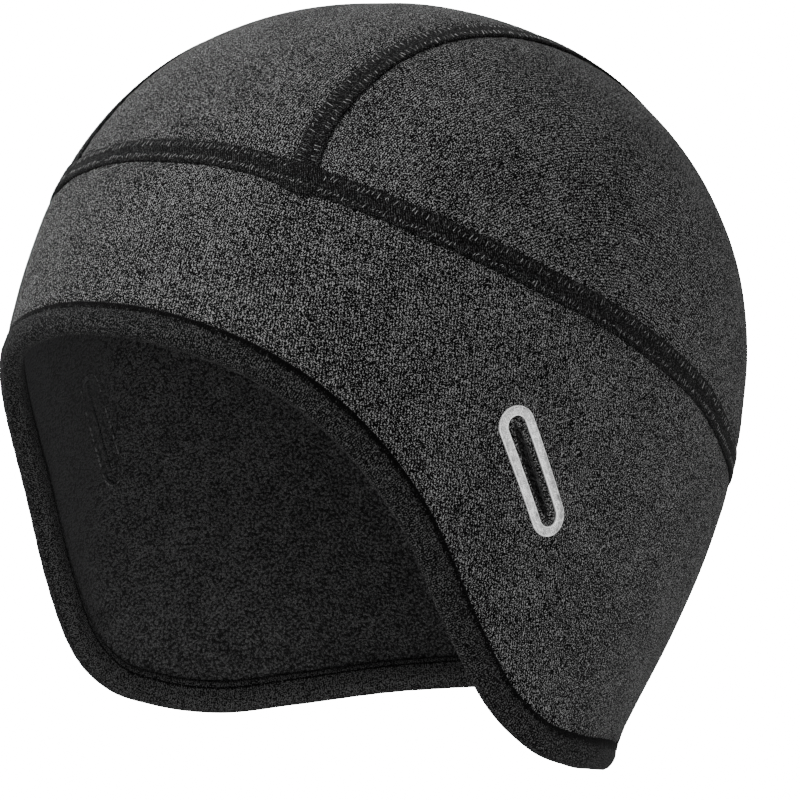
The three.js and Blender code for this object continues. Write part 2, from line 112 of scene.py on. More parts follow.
@dataclass(frozen=True)
class TableCurve:
    """A smooth curve through the rows of a short table.

    Args:
        places: where the values stand, rising.
        values: the values there.
    """

    places: np.ndarray
    values: np.ndarray

    def __call__(self, place: np.ndarray) -> np.ndarray:
        """The value at each place, held level past the ends.

        Args:
            place: where the values are wanted.

        Returns:
            The values there.
        """
        x, y = self.places, self.values
        steps = np.diff(x)
        rates = np.diff(y) / steps
        slopes = np.empty_like(y)
        slopes[0], slopes[-1] = rates[0], rates[-1]
        slopes[1:-1] = (steps[1:] * rates[:-1] + steps[:-1] * rates[1:]) / (steps[1:] + steps[:-1])
        held = np.clip(place, x[0], x[-1])
        i = np.clip(np.searchsorted(x, held) - 1, 0, len(x) - 2)
        step = steps[i]
        t = (held - x[i]) / step
        rest = (1 - t) ** 2
        start = y[i] * rest * (1 + 2 * t) + slopes[i] * step * rest * t
        return start + y[i + 1] * t * t * (3 - 2 * t) + slopes[i + 1] * step * t * t * (t - 1)


def line_round_head(bearings: Sequence[float], drops: Sequence[float]) -> Curve:
    """A line round the head from a table for its left half.

    Args:
        bearings: degrees from the front to the back.
        drops: the line's drop at each.

    Returns:
        A function from bearings in radians to drops.
    """
    x = np.radians(bearings)
    y = np.asarray(drops, float)
    before, after = -x[1:-1][::-1], 2 * math.pi - x[1:-1][::-1]
    twins = y[1:-1][::-1]
    curve = TableCurve(np.concatenate([before, x, after]), np.concatenate([twins, y, twins]))

    def drop(bearing: np.ndarray) -> np.ndarray:
        """The line's drop at each bearing."""
        turned = np.mod(bearing, 2 * math.pi)
        return curve(np.where(turned > math.pi, 2 * math.pi - turned, turned))

    return drop


@dataclass(frozen=True)
class Skin:
    """The outer surface that all pieces of the cap share, and the lines in it.

    Args:
        reach: how far it stands out from the middle where it is widest, round the head.
        widest: the drop at which it is widest.
        power: how full its curve is above that drop.
        taper: the share of the reach by which it draws in, a taper_run further down.
        taper_run: see taper.
        wall: depth from the skin to the lining's inner face.
        seam_offset: distance of a crown seam from the middle, before its table of shares.
        ring_ends: drops of the ring seam in front and at the back.
        ring_bearings: degrees at which ring_shares stand.
        ring_shares: how far the ring seam has come from its front drop to its back drop.
        edge_ends: drops of the lower edge in front, at the ear flaps and at the nape.
        edge_bearings: degrees at which edge_fronts and edge_napes stand.
        edge_fronts: how much of the front drop the edge has; what is left is the flaps'.
        edge_napes: how much of the nape's drop it has.
        left_sag: how much lower the edge hangs behind the left ear.
        sag_bearings: degrees at which sag_shares stand.
        sag_shares: shares of left_sag.
        seam_alongs: shares of a crown seam's way back at which its offsets stand.
        left_offsets: shares of seam_offset along the left crown seam.
        right_offsets: the same for the right one.
    """

    reach: EvenCurve = EvenCurve((94.6, 89.3, 81.6, 92.7, 105.2))
    widest: EvenCurve = EvenCurve((114.3, 63.7, 98.7))
    power: EvenCurve = EvenCurve((1.9, 2.19, 1.88))
    taper: EvenCurve = EvenCurve((0.24, 0.03, 0.38))
    taper_run: float = 94.5
    wall: float = 2.9
    seam_offset: float = 40.0
    ring_ends: tuple[float, float] = (44.2, 113.5)
    ring_bearings: tuple[float, ...] = (0, 15, 30, 45, 60, 75, 90, 105, 120, 135, 150, 180)
    ring_shares: tuple[float, ...] = (
        0, 0.01, 0.061, 0.141, 0.245, 0.349, 0.444, 0.557, 0.684, 0.845, 0.95, 1)
    edge_ends: tuple[float, float, float] = (89.4, 184.4, 170.0)
    edge_bearings: tuple[float, ...] = (0, 15, 30, 42, 54, 64, 72, 82, 94, 108, 124, 150, 180)
    edge_fronts: tuple[float, ...] = (
        1, 0.98, 0.907, 0.783, 0.576, 0.324, 0.163, 0.057, 0.012, 0, 0, 0, 0)
    edge_napes: tuple[float, ...] = (0, 0, 0, 0, 0, 0, 0, 0, 0, 0, 0.236, 0.694, 1)
    left_sag: float = 7.5
    sag_bearings: tuple[float, ...] = (96, 105, 111, 117, 123, 132, 138, 144, 150, 165, 180, 195)
    sag_shares: tuple[float, ...] = (0, 0, 0.12, 0.36, 0.64, 0.93, 1, 0.93, 0.75, 0.27, 0, 0)
    seam_alongs: tuple[float, ...] = (0, 0.06, 0.14, 0.25, 0.4, 0.5, 0.65, 0.82, 1)
    left_offsets: tuple[float, ...] = (1.01, 0.94, 0.918, 0.922, 0.985, 1.03, 1.05, 1.02, 0.96)
    right_offsets: tuple[float, ...] = (1.2, 1.22, 1.22, 1.18, 1.1, 1.08, 1.06, 1.02, 0.96)

    def ring_drop(self, bearing: np.ndarray) -> np.ndarray:
        """Drop of the line where the crown meets the side band.

        Args:
            bearing: bearings, in radians.

        Returns:
            The line's drops.
        """
        front, back = self.ring_ends
        drops = front + (back - front) * np.array(self.ring_shares)
        return line_round_head(self.ring_bearings, drops)(bearing)

    def edge_drop(self, bearing: np.ndarray) -> np.ndarray:
        """Drop of the cap's lower edge, which hangs lower behind the left ear.

        Args:
            bearing: bearings, in radians.

        Returns:
            The edge's drops.
        """
        front, flap, nape = self.edge_ends
        fronts, napes = np.array(self.edge_fronts), np.array(self.edge_napes)
        drops = fronts * front + napes * nape + (1 - fronts - napes) * flap
        even = line_round_head(self.edge_bearings, drops)
        sag = TableCurve(np.radians(self.sag_bearings), self.left_sag * np.array(self.sag_shares))
        return even(bearing) + sag(np.mod(bearing, 2 * math.pi))

    def point(self, bearing: np.ndarray, drop: np.ndarray) -> np.ndarray:
        """Points of the skin, in millimetres.

        Args:
            bearing: bearings, in radians.
            drop: drops, in millimetres.

        Returns:
            One row of three for each place.
        """
        b, d = np.broadcast_arrays(np.asarray(bearing, float), np.asarray(drop, float))
        widest, power = self.widest(b), self.power(b)
        climb = 1 - np.minimum(np.maximum(d, 0) / widest, 1)
        dome = (1 - climb**power) ** (1 / power)
        below = np.maximum(d - widest, 0) / self.taper_run
        reach = self.reach(b) * (dome - self.taper(b) * below * below)
        return np.stack([reach * np.sin(b), -reach * np.cos(b), self.wall - d], axis=-1)

    def rates(self, bearing: np.ndarray, drop: np.ndarray) -> tuple[np.ndarray, np.ndarray]:
        """The two ways in which the skin runs at each place, per radian and millimetre.

        Args:
            bearing: bearings, in radians.
            drop: drops, in millimetres.

        Returns:
            The way per radian round the head and the way per millimetre down it.
        """
        step = np.minimum(TINY, np.asarray(drop, float) * TINY)
        round_way = self.point(bearing + TINY, drop) - self.point(bearing - TINY, drop)
        down_way = self.point(bearing, drop + step) - self.point(bearing, drop - step)
        return round_way / (2 * TINY), down_way / (2 * step[..., None])

    def normal(self, bearing: np.ndarray, drop: np.ndarray) -> np.ndarray:
        """Outward directions of the skin, taken a hair below its top where they meet there.

        Args:
            bearing: bearings, in radians.
            drop: drops, in millimetres.

        Returns:
            One unit direction for each place.
        """
        round_way, down_way = self.rates(bearing, np.maximum(drop, TINY / 10))
        across = np.cross(down_way, round_way)
        return across / np.linalg.norm(across, axis=-1, keepdims=True)

    def layer(self, bearing: np.ndarray, drop: np.ndarray, outward: np.ndarray) -> np.ndarray:
        """Points that lie a height outside the skin."""
        lift = np.asarray(outward, float)[..., None]
        return self.point(bearing, drop) + self.normal(bearing, drop) * lift

    def beside(
        self, bearing: np.ndarray, drop: np.ndarray, way: Places, rise: np.ndarray
    ) -> Places:
        """Places a distance above a line that runs in the skin.

        Args:
            bearing: the line's bearings.
            drop: the line's drops.
            way: how bearing and drop change along the line.
            rise: the distance, measured across the line.

        Returns:
            The bearings and drops of those places.
        """
        round_way, down_way = self.rates(bearing, drop)
        along = round_way * np.asarray(way[0])[..., None] + down_way * np.asarray(way[1])[..., None]
        up = np.cross(self.normal(bearing, drop), along)
        up /= np.linalg.norm(up, axis=-1, keepdims=True)
        rr = (round_way * round_way).sum(-1)
        rd = (round_way * down_way).sum(-1)
        dd = (down_way * down_way).sum(-1)
        spread = rr * dd - rd * rd
        ur, ud = (up * round_way).sum(-1), (up * down_way).sum(-1)
        return (
            bearing + rise * (ur * dd - ud * rd) / spread,
            drop + rise * (ud * rr - ur * rd) / spread,
        )

    def beside_line(self, line: Curve, bearing: np.ndarray, rise: float) -> Places:
        """Places a distance above a line round the head, at each bearing of it."""
        slope = (line(bearing + TINY) - line(bearing - TINY)) / (2 * TINY)
        return self.beside(bearing, line(bearing), (np.ones_like(slope), slope), rise)

    def even_bearings(self, line: Curve, count: int) -> np.ndarray:
        """Bearings that share a line round the head out in even lengths.

        Args:
            line: the line's drop at each bearing.
            count: how many bearings.

        Returns:
            The bearings, from 0 up.
        """
        fine = np.linspace(0, 2 * math.pi, 1441)
        lengths = arc_lengths(self.point(fine, line(fine)))
        return np.interp(np.arange(count) * lengths[-1] / count, lengths, fine)

    def crown_place(self, x: np.ndarray, y: np.ndarray) -> Places:
        """Bearing and drop of a place on the crown's disc, whose rim is the ring line."""
        bearing = np.arctan2(x, -y)
        return bearing, (x * x + y * y) * self.ring_drop(bearing)

    def seam_offsets(self, side: Side) -> np.ndarray:
        """Distances of one crown seam from the middle, from front to back."""
        shares = self.left_offsets if side is Side.LEFT else self.right_offsets
        return self.seam_offset * np.array(shares)

    def junction(self, side: Side, at_back: bool) -> float:
        """Bearing at which a crown seam meets the ring line.

        Args:
            side: the wearer's side.
            at_back: whether the back end is meant.

        Returns:
            The bearing, less than 0 on the right.
        """
        turns = np.linspace(0, math.pi / 2, 2001)
        bearings = math.pi - turns if at_back else turns
        aside = self.point(bearings, self.ring_drop(bearings))[:, 0]
        turn = float(np.interp(self.seam_offsets(side)[-1 if at_back else 0], aside, turns))
        return side.value * (math.pi - turn if at_back else turn)

    def crown_seam(self, side: Side, along: np.ndarray) -> tuple[np.ndarray, np.ndarray]:
        """A crown seam on the crown's disc, found by halving, from front end to back end.

        Args:
            side: the wearer's side.
            along: shares of its way from front to back.

        Returns:
            Sideways and backward places on the disc.
        """
        front, back = self.junction(side, False), self.junction(side, True)
        y = -math.cos(front) + (math.cos(front) - math.cos(back)) * np.asarray(along, float)
        wanted = TableCurve(np.array(self.seam_alongs), self.seam_offsets(side))(along)
        low, high = np.zeros_like(y), np.sqrt(np.maximum(1 - y * y, 0))
        for _ in range(40):
            middle = (low + high) / 2
            short = self.point(*self.crown_place(middle, y))[..., 0] < wanted
            low, high = np.where(short, middle, low), np.where(short, high, middle)
        return side.value * (low + high) / 2, y


SKIN = Skin()


# ---------------------------------------------------------------- meshes


def mesh_piece(
    name: str, vertices: np.ndarray, faces: Iterable[Sequence[int]],
    cloth_map: np.ndarray | None = None, girth: float = 0.0,
) -> bpy.types.Object:
    """Makes an object of points in millimetres.

    Args:
        name: the piece's name.
        vertices: one row of three for each point.
        faces: the corners of each face.
        cloth_map: each point's place in the flat cloth, in metres, or None.
        girth: the cloth map's width where it closes on itself, in metres, or 0.

    Returns:
        The object, at the origin, with smooth faces that point outward.
    """
    mesh = bpy.data.meshes.new(name)
    faces = np.asarray(faces)
    corners = vertices[faces]
    first = np.cross(corners[:, 1] - corners[:, 0], corners[:, 2] - corners[:, 0])
    if np.einsum("ij,ij->", corners[:, 0], first) < 0:
        faces = faces[:, ::-1]
    mesh.from_pydata((vertices * MM).tolist(), [], faces.tolist())
    if cloth_map is not None:
        layer = mesh.uv_layers.new(name="cloth")
        corners = cloth_map[faces]
        across = corners[..., 0]
        closing = (across.max(1) - across.min(1) > girth / 2) & (girth > 0)
        across[closing] += girth * (across[closing] < girth / 2)
        layer.data.foreach_set("uv", corners.astype(np.float32).ravel())
    mesh.polygons.foreach_set("use_smooth", np.ones(len(mesh.polygons), bool))
    mesh.update()
    piece = bpy.data.objects.new(name, mesh)
    bpy.context.scene.collection.objects.link(piece)
    return piece


def grid_faces(rows: int, columns: int, round_rows: bool, round_columns: bool) -> np.ndarray:
    """Four-sided faces of a grid of points that may close on itself either way.

    Args:
        rows: how many rows of points.
        columns: how many points in a row.
        round_rows: whether the last row joins the first.
        round_columns: whether each row closes.

    Returns:
        The corners of each face.
    """
    i, j = np.meshgrid(
        np.arange(rows if round_rows else rows - 1),
        np.arange(columns if round_columns else columns - 1), indexing="ij")
    i, j = i.ravel(), j.ravel()
    ni, nj = (i + 1) % rows, (j + 1) % columns
    return np.stack([i * columns + j, i * columns + nj, ni * columns + nj, ni * columns + j], 1)


def cloth_wall(
    name: str, outside: np.ndarray, inside: np.ndarray, flat: np.ndarray, girth: float = 0.0
) -> bpy.types.Object:
    """Makes a closed wall of cloth from its two faces.

    Args:
        name: the piece's name.
        outside: a grid of points of the outer face, in millimetres.
        inside: the same grid on the inner face.
        flat: each grid point's place in the flat cloth, in metres.
        girth: the flat cloth's width if its last row joins the first, or 0.

    Returns:
        The wall, with a cloth map that follows both faces.
    """
    round_rows = girth > 0
    points = np.concatenate([outside, inside[:, ::-1]], axis=1)
    both = np.concatenate([flat, flat[:, ::-1]], axis=1)
    rows, columns = points.shape[:2]
    faces = grid_faces(rows, columns, round_rows, True)
    if not round_rows:
        half = columns // 2
        j = np.arange(half - 1)
        first = np.stack([columns - 1 - j, columns - 2 - j, j + 1, j], 1)
        faces = np.concatenate([faces, first, first[:, ::-1] + (rows - 1) * columns])
    return mesh_piece(name, points.reshape(-1, 3), faces, both.reshape(-1, 2), girth)


def tube_section(
    name: str, rings: np.ndarray, flat: np.ndarray, girth: float = 0.0
) -> bpy.types.Object:
    """Makes a closed strip from rings of points round its section.

    Args:
        name: the piece's name.
        rings: for each step along the strip, the points round its section.
        flat: each point's place in the flat cloth, in metres.
        girth: the strip's length if it closes on itself, in metres, or 0.

    Returns:
        The strip.
    """
    rows, columns = rings.shape[:2]
    faces = grid_faces(rows, columns, girth > 0, True)
    piece = mesh_piece(name, rings.reshape(-1, 3), faces, flat.reshape(-1, 2), girth)
    if not girth:
        close_holes(piece)
    return piece


def arc_lengths(points: np.ndarray) -> np.ndarray:
    """Length along a row of points up to each of them."""
    steps = np.linalg.norm(np.diff(points, axis=0), axis=-1)
    return np.concatenate([np.zeros((1,) + steps.shape[1:]), np.cumsum(steps, axis=0)])


def near_line(points: np.ndarray, line: np.ndarray) -> tuple[np.ndarray, np.ndarray]:
    """Distance of each point from a line of points, and the length along it there.

    Args:
        points: the points.
        line: the line's points in order.

    Returns:
        The distances and the lengths.
    """
    flat = points.reshape(-1, 3)
    along = arc_lengths(line)
    near, place = np.empty(len(flat)), np.empty(len(flat))
    batch = 4000
    for start in range(0, len(flat), batch):
        part = slice(start, start + batch)
        gaps = np.linalg.norm(flat[part, None] - line[None], axis=2)
        best = gaps.argmin(1)
        near[part], place[part] = gaps[np.arange(len(best)), best], along[best]
    return near.reshape(points.shape[:-1]), place.reshape(points.shape[:-1])


def lengths_across(points: np.ndarray) -> np.ndarray:
    """Length across a grid of points up to each of them."""
    return arc_lengths(points.transpose(1, 0, 2)).T


def between(first: Places, last: Places, shares: np.ndarray) -> list[Places]:
    """Rows of places that share out the way from one row to another."""
    return [tuple(a + (b - a) * t for a, b in zip(first, last)) for t in shares]


def as_grid(rows: Sequence[Places]) -> Places:
    """Rows of places as a grid of bearings and a grid of drops."""
    return np.stack([r[0] for r in rows], 1), np.stack([r[1] for r in rows], 1)


def smooth_step(value: np.ndarray, low: float, high: float) -> np.ndarray:
    """Rises smoothly from 0 at low to 1 at high."""
    t = np.clip((value - low) / (high - low), 0, 1)
    return t * t * (3 - 2 * t)


# ---------------------------------------------------------------- modelling by operators


def nothing_selected() -> None:
    """Leaves edit mode and deselects every object."""
    if bpy.context.object and bpy.context.object.mode != "OBJECT":
        bpy.ops.object.mode_set(mode="OBJECT")
    bpy.ops.object.select_all(action="DESELECT")


def take_up(piece: bpy.types.Object) -> None:
    """Makes a piece the one selected and active object.

    Args:
        piece: the piece.
    """
    nothing_selected()
    piece.select_set(True)
    bpy.context.view_layer.objects.active = piece


def recalculate(piece: bpy.types.Object) -> None:
    """Turns a closed piece's faces outward.

    Args:
        piece: the piece.
    """
    take_up(piece)
    bpy.ops.object.mode_set(mode="EDIT")
    bpy.ops.mesh.select_all(action="SELECT")
    bpy.ops.mesh.normals_make_consistent(inside=False)
    bpy.ops.object.mode_set(mode="OBJECT")


def close_holes(piece: bpy.types.Object) -> None:
    """Fills the open ends of a strip.

    Args:
        piece: the piece.
    """
    take_up(piece)
    bpy.ops.object.mode_set(mode="EDIT")
    bpy.ops.mesh.select_all(action="DESELECT")
    bpy.ops.mesh.select_non_manifold(extend=False)
    bpy.ops.mesh.fill()
    recalculate(piece)


def apply_all(piece: bpy.types.Object) -> None:
    """Applies a piece's modifiers in order.

    Args:
        piece: the piece.
    """
    take_up(piece)
    for modifier in list(piece.modifiers):
        bpy.ops.object.modifier_apply(modifier=modifier.name)


def select_where(piece: bpy.types.Object, wanted: Callable[[Vector], bool]) -> None:
    """In edit mode, selects the vertices whose place passes a test, and nothing else.

    Args:
        piece: the piece.
        wanted: whether a vertex at a place is to be selected.
    """
    bpy.ops.object.mode_set(mode="OBJECT")
    for part in (piece.data.vertices, piece.data.edges, piece.data.polygons):
        part.foreach_set("select", [False] * len(part))
    for vertex in piece.data.vertices:
        vertex.select = wanted(vertex.co)
    bpy.ops.object.mode_set(mode="EDIT")
    bpy.ops.mesh.select_mode(type="VERT")


def points_of(piece: bpy.types.Object) -> np.ndarray:
    """The points of a piece's mesh.

    Args:
        piece: the piece.

    Returns:
        One row of three for each point.
    """
    points = np.empty(len(piece.data.vertices) * 3)
    piece.data.vertices.foreach_get("co", points)
    return points.reshape(-1, 3)


def lay_on(piece: bpy.types.Object, points: np.ndarray) -> None:
    """Moves a piece's points, given in millimetres, and leaves its object at the origin."""
    piece.data.vertices.foreach_set("co", (points * MM).ravel())
    piece.data.update()


# ---------------------------------------------------------------- finishes


@dataclass(frozen=True)
class Signal:
    """A value in a material's nodes; each sum or product with it adds a node.

    Args:
        graph: the material's nodes.
        socket: the output that gives the value.
    """

    graph: "Graph"
    socket: bpy.types.NodeSocket

    def __add__(self, other: "Signal | float") -> "Signal":
        """The sum of both."""
        return self.graph.math("ADD", self, other)

    def __sub__(self, other: "Signal | float") -> "Signal":
        """The difference of both."""
        return self.graph.math("SUBTRACT", self, other)

    def __mul__(self, other: "Signal | float") -> "Signal":
        """The product of both."""
        return self.graph.math("MULTIPLY", self, other)

    def floor(self) -> "Signal":
        """The whole number below it."""
        return self.graph.math("FLOOR", self)

    def off_centre(self) -> "Signal":
        """How far its fraction is from a half: 0 amid a unit, 0.5 at the unit's ends."""
        return self.graph.math("FRACT", self).off(0.5)

    def off(self, middle: float) -> "Signal":
        """Its distance from a number."""
        return self.graph.math("ABSOLUTE", self - middle)

    def span(self, low: float, high: float, to_low: float, to_high: float) -> "Signal":
        """The value carried smoothly from one span to another, and held inside it.

        Args:
            low: the first end of the span it comes from.
            high: that span's other end.
            to_low: what low becomes.
            to_high: what high becomes.

        Returns:
            The new value.
        """
        node = self.graph.add(
            "MapRange", {"interpolation_type": "SMOOTHSTEP"}, Value=self,
            From_Min=low, From_Max=high, To_Min=to_low, To_Max=to_high)
        return Signal(self.graph, node.outputs[0])


@dataclass
class Graph:
    """A material's nodes, with short calls for those that the finishes use."""

    name: str
    material: bpy.types.Material = field(init=False)

    def __post_init__(self) -> None:
        """Starts a material with an output and a surface shader."""
        self.material = bpy.data.materials.new(self.name)
        self.material.use_nodes = True
        self.nodes = self.material.node_tree.nodes
        self.links = self.material.node_tree.links
        self.surface = self.nodes["Principled BSDF"]

    def feed(self, socket: bpy.types.NodeSocket, value: object) -> None:
        """Links a socket to a signal, or sets its value.

        Args:
            socket: the input.
            value: a signal, a number or a colour.
        """
        if isinstance(value, Signal):
            self.links.new(value.socket, socket)
        else:
            socket.default_value = value

    def add(self, kind: str, settings: dict | None = None, **inputs: object) -> bpy.types.Node:
        """Adds a node.

        Args:
            kind: the node's type, without its ShaderNode prefix.
            settings: properties of the node.
            inputs: values or signals for its inputs, by name with _ for a space.

        Returns:
            The node.
        """
        node = self.nodes.new("ShaderNode" + kind)
        for key, value in (settings or {}).items():
            setattr(node, key, value)
        for key, value in inputs.items():
            self.feed(node.inputs[key.replace("_", " ")], value)
        return node

    def blend(self, kind: str, operation: str, *operands: object) -> Signal:
        """The result of a node that works on its inputs in order.

        Args:
            kind: the node's type, without its ShaderNode prefix.
            operation: what it does.
            operands: its inputs.

        Returns:
            Its first output.
        """
        node = self.add(kind, {"operation": operation})
        for socket, operand in zip(node.inputs, operands):
            self.feed(socket, operand)
        return Signal(self, node.outputs[0])

    def math(self, operation: str, a: Signal, b: Signal | float = 0.0) -> Signal:
        """The result of a sum of two values."""
        return self.blend("Math", operation, a, b)

    def noise(
        self, vector: Signal, scale: float, detail: float = 2.0, rough: float = 0.5
    ) -> Signal:
        """A smooth random value, around a half.

        Args:
            vector: where it is taken.
            scale: its spots in a metre.
            detail: how many finer layers it has.
            rough: how strong these are.

        Returns:
            The value.
        """
        node = self.add(
            "TexNoise", None, Vector=vector, Scale=scale, Detail=detail, Roughness=rough)
        return Signal(self, node.outputs[0])

    def ramp(self, value: Signal, stops: Stops) -> Signal:
        """A grey chosen along a ramp of places and linear levels.

        Args:
            value: the place on the ramp.
            stops: places with their levels.

        Returns:
            The grey.
        """
        node = self.add("ValToRGB")
        self.feed(node.inputs[0], value)
        ends = node.color_ramp.elements
        while len(ends) < len(stops):
            ends.new(0.5)
        for end, (place, level) in zip(ends, stops):
            end.position = place
            end.color = (level, level, level, 1)
        return Signal(self, node.outputs[0])

    def bump(self, height: Signal, depth: float) -> Signal:
        """A normal that follows a height of 0 to 1, whose 1 is a depth in millimetres."""
        node = self.add("Bump", None, Height=height, Distance=depth * MM, Strength=1.0)
        return Signal(self, node.outputs[0])

    def combine(self, x: Signal, y: Signal) -> Signal:
        """A flat vector of two values."""
        return Signal(self, self.add("CombineXYZ", None, X=x, Y=y).outputs[0])

    def separate(self, vector: Signal) -> list[Signal]:
        """The three values of a vector."""
        node = self.add("SeparateXYZ", None, Vector=vector)
        return [Signal(self, part) for part in node.outputs]

    def cloth_map(self) -> tuple[Signal, Signal]:
        """The two coordinates of the flat cloth, in metres.

        Returns:
            The place along the cloth and the place across it.
        """
        place = Signal(self, self.add("UVMap", {"uv_map": "cloth"}).outputs[0])
        along, across, _ = self.separate(place)
        return along, across

    def object_place(self) -> Signal:
        """The place in the part's own frame, in metres."""
        return Signal(self, self.add("TexCoord").outputs["Object"])

    def finish(
        self, colour: Signal, normal: Signal | None, roughness: Signal | float, **constants: object
    ) -> bpy.types.Material:
        """Feeds the surface shader.

        Args:
            colour: the base colour.
            normal: the normal with all relief, or None for a plain surface.
            roughness: the roughness.
            constants: numbers and colours for its other sockets.

        Returns:
            The material.
        """
        sockets = self.surface.inputs
        self.feed(sockets["Base Color"], colour)
        if normal:
            self.feed(sockets["Normal"], normal)
        self.feed(sockets["Roughness"], roughness)
        for key, value in constants.items():
            sockets[key.replace("_", " ")].default_value = value
        return self.material


@dataclass(frozen=True)
class HeatherKnit:
    """Jersey knitted from a melange of black and pale fibres."""

    wale_pitch: float = 0.74
    course_pitch: float = 0.62
    slant: float = 1.5
    sway: float = 0.7
    column_step: float = 7.31
    strand_share: float = 0.42
    fibre_share: float = 0.58
    cloud_share: float = 0.06
    gap_painted_shade: float = 0.11
    stops: Stops = ((0.43, 0.0002), (0.47, 0.0006), (0.505, 0.0030), (0.535, 0.016), (0.58, 0.25))
    relief: float = 0.15

    def material(self) -> bpy.types.Material:
        """Builds the node material.

        Returns:
            The material.
        """
        g = Graph("heather_knit")
        u, v = g.cloth_map()
        place = g.object_place()
        sway = (g.noise(place, 330, 1) - 0.5) * self.sway
        wale = u * (1 / (self.wale_pitch * MM)) + sway
        aside = wale.off_centre()
        course = v * (1 / (self.course_pitch * MM)) + aside * self.slant
        column = (wale * 2.0).floor() * self.column_step
        strand = g.noise(g.combine(column, course), 2.3, 1.0, 0.6)
        fibre = g.noise(place, 3500, 0.3, 0.5)
        cloud = g.noise(place, 60, 3, 0.55)
        melange = strand * self.strand_share + fibre * self.fibre_share
        melange = melange + (cloud - 0.5) * self.cloud_share
        # Painted shade: the tone darkens in the gaps between the wales.
        melange = melange - aside.span(0.30, 0.5, 0.0, self.gap_painted_shade)
        loop = aside.span(0.1, 0.5, 1.0, 0.0) * course.off_centre().span(0.0, 0.5, 1.0, 0.5)
        height = loop * 0.6 + fibre * 0.7
        return g.finish(
            g.ramp(melange, self.stops), g.bump(height, self.relief), 0.92, Sheen_Weight=0.025,
            Sheen_Roughness=0.4, Sheen_Tint=(0.86, 0.86, 0.86, 1), Specular_IOR_Level=0.06)


@dataclass(frozen=True)
class RibKnit:
    """Fine rib knit of the binding, its ribs across the edge.

    The cloth's second coordinate runs over the fold, from the outer border to the inner one.
    """

    rib_pitch: float = 0.60
    sway: float = 1.6
    column_step: float = 5.3
    strand_share: float = 0.3
    fibre_share: float = 0.7
    groove_painted_shade: float = 2.1
    inner_groove_painted_shade: float = 15.1
    inner_painted_light: float = 0.05
    stops: Stops = ((0.39, 0.0004), (0.47, 0.0030), (0.54, 0.015), (0.63, 0.07))
    relief: float = 0.16

    def material(self) -> bpy.types.Material:
        """Builds the node material.

        Returns:
            The material.
        """
        g = Graph("binding_rib_knit")
        u, v = g.cloth_map()
        place = g.object_place()
        rib = u * (1 / (self.rib_pitch * MM)) + (g.noise(place, 500, 1) - 0.5) * self.sway
        ridge = rib.off_centre().span(0.05, 0.5, 1.0, 0.0)
        strand = g.noise(g.combine(rib.floor() * self.column_step, v * 2600.0), 1.0, 1.0)
        fibre = g.noise(place, 3200, 0.6, 0.5)
        tone = strand * self.strand_share + fibre * self.fibre_share + (ridge - 0.5) * 0.06
        # Painted shade: dark lines in the tone along the outer border and in the ditch 2.1 mm in,
        # where the grooves there fall into shade.
        border_painted_shade = v.span(0.0009, 0.0016, 0.2, 0.0)
        groove_painted_shade = v.off(self.groove_painted_shade * MM).span(0.0002, 0.0006, 0.14, 0.0)
        # Painted light: the tone of the inner leg is raised, as if more light fell on it.
        inner_leg_painted_light = v.span(0.0085, 0.0105, 0.0, self.inner_painted_light)
        # Painted shade: a dark line in the tone beside the inner border.
        hem_painted_shade = v.off(self.inner_groove_painted_shade * MM).span(0.0001, 0.0004, 0.13, 0.0)
        tone = tone - (border_painted_shade + groove_painted_shade) + inner_leg_painted_light - hem_painted_shade
        height = ridge * 0.45 + fibre * 0.7
        return g.finish(
            g.ramp(tone, self.stops), g.bump(height, self.relief), 0.9, Sheen_Weight=0.02,
            Sheen_Roughness=0.4, Sheen_Tint=(0.8, 0.8, 0.82, 1), Specular_IOR_Level=0.05)


@dataclass(frozen=True)
class TapeKnit:
    """Black cover seam: threads that run across the joint in close rows."""

    thread_pitch: float = 0.62
    slant_pitches: float = 1.8
    sway: float = 1.3
    ridge_share: float = 0.14
    stops: Stops = ((0.38, 0.0003), (0.5, 0.0016), (0.60, 0.012), (0.70, 0.06))
    relief: float = 0.18

    def material(self) -> bpy.types.Material:
        """Builds the node material.

        Returns:
            The material.
        """
        g = Graph("seam_tape_knit")
        u, v = g.cloth_map()
        place = g.object_place()
        slant = v * (1 / (self.thread_pitch * self.slant_pitches * MM))
        row = u * (1 / (self.thread_pitch * MM)) + slant + g.noise(place, 420, 1) * self.sway
        ridge = row.off_centre().span(0.05, 0.5, 1.0, 0.0)
        fibre = g.noise(place, 2800, 1.0, 0.6)
        tone = (ridge - 0.5) * self.ridge_share + fibre
        height = ridge * 0.8 + fibre * 0.5
        return g.finish(
            g.ramp(tone, self.stops), g.bump(height, self.relief), 0.85, Sheen_Weight=0.01,
            Sheen_Roughness=0.4, Sheen_Tint=(0.8, 0.8, 0.82, 1), Specular_IOR_Level=0.06)


@dataclass(frozen=True)
class Thread:
    """Sewing thread that catches the light in places."""

    name: str = "sewing_thread"
    dark: float = 0.006
    pale: float = 0.24
    spots: float = 620.0
    threshold: tuple[float, float] = (0.42, 0.62)

    def material(self) -> bpy.types.Material:
        """Builds the node material.

        Returns:
            The material.
        """
        g = Graph(self.name)
        place = g.object_place()
        tone = g.noise(place, self.spots, 1.5, 0.6)
        twist = g.noise(place, 4200, 1)
        colour = g.ramp(tone, tuple(zip(self.threshold, (self.dark, self.pale))))
        return g.finish(colour, g.bump(twist, 0.05), 0.55, Sheen_Weight=0.1, Specular_IOR_Level=0.4)


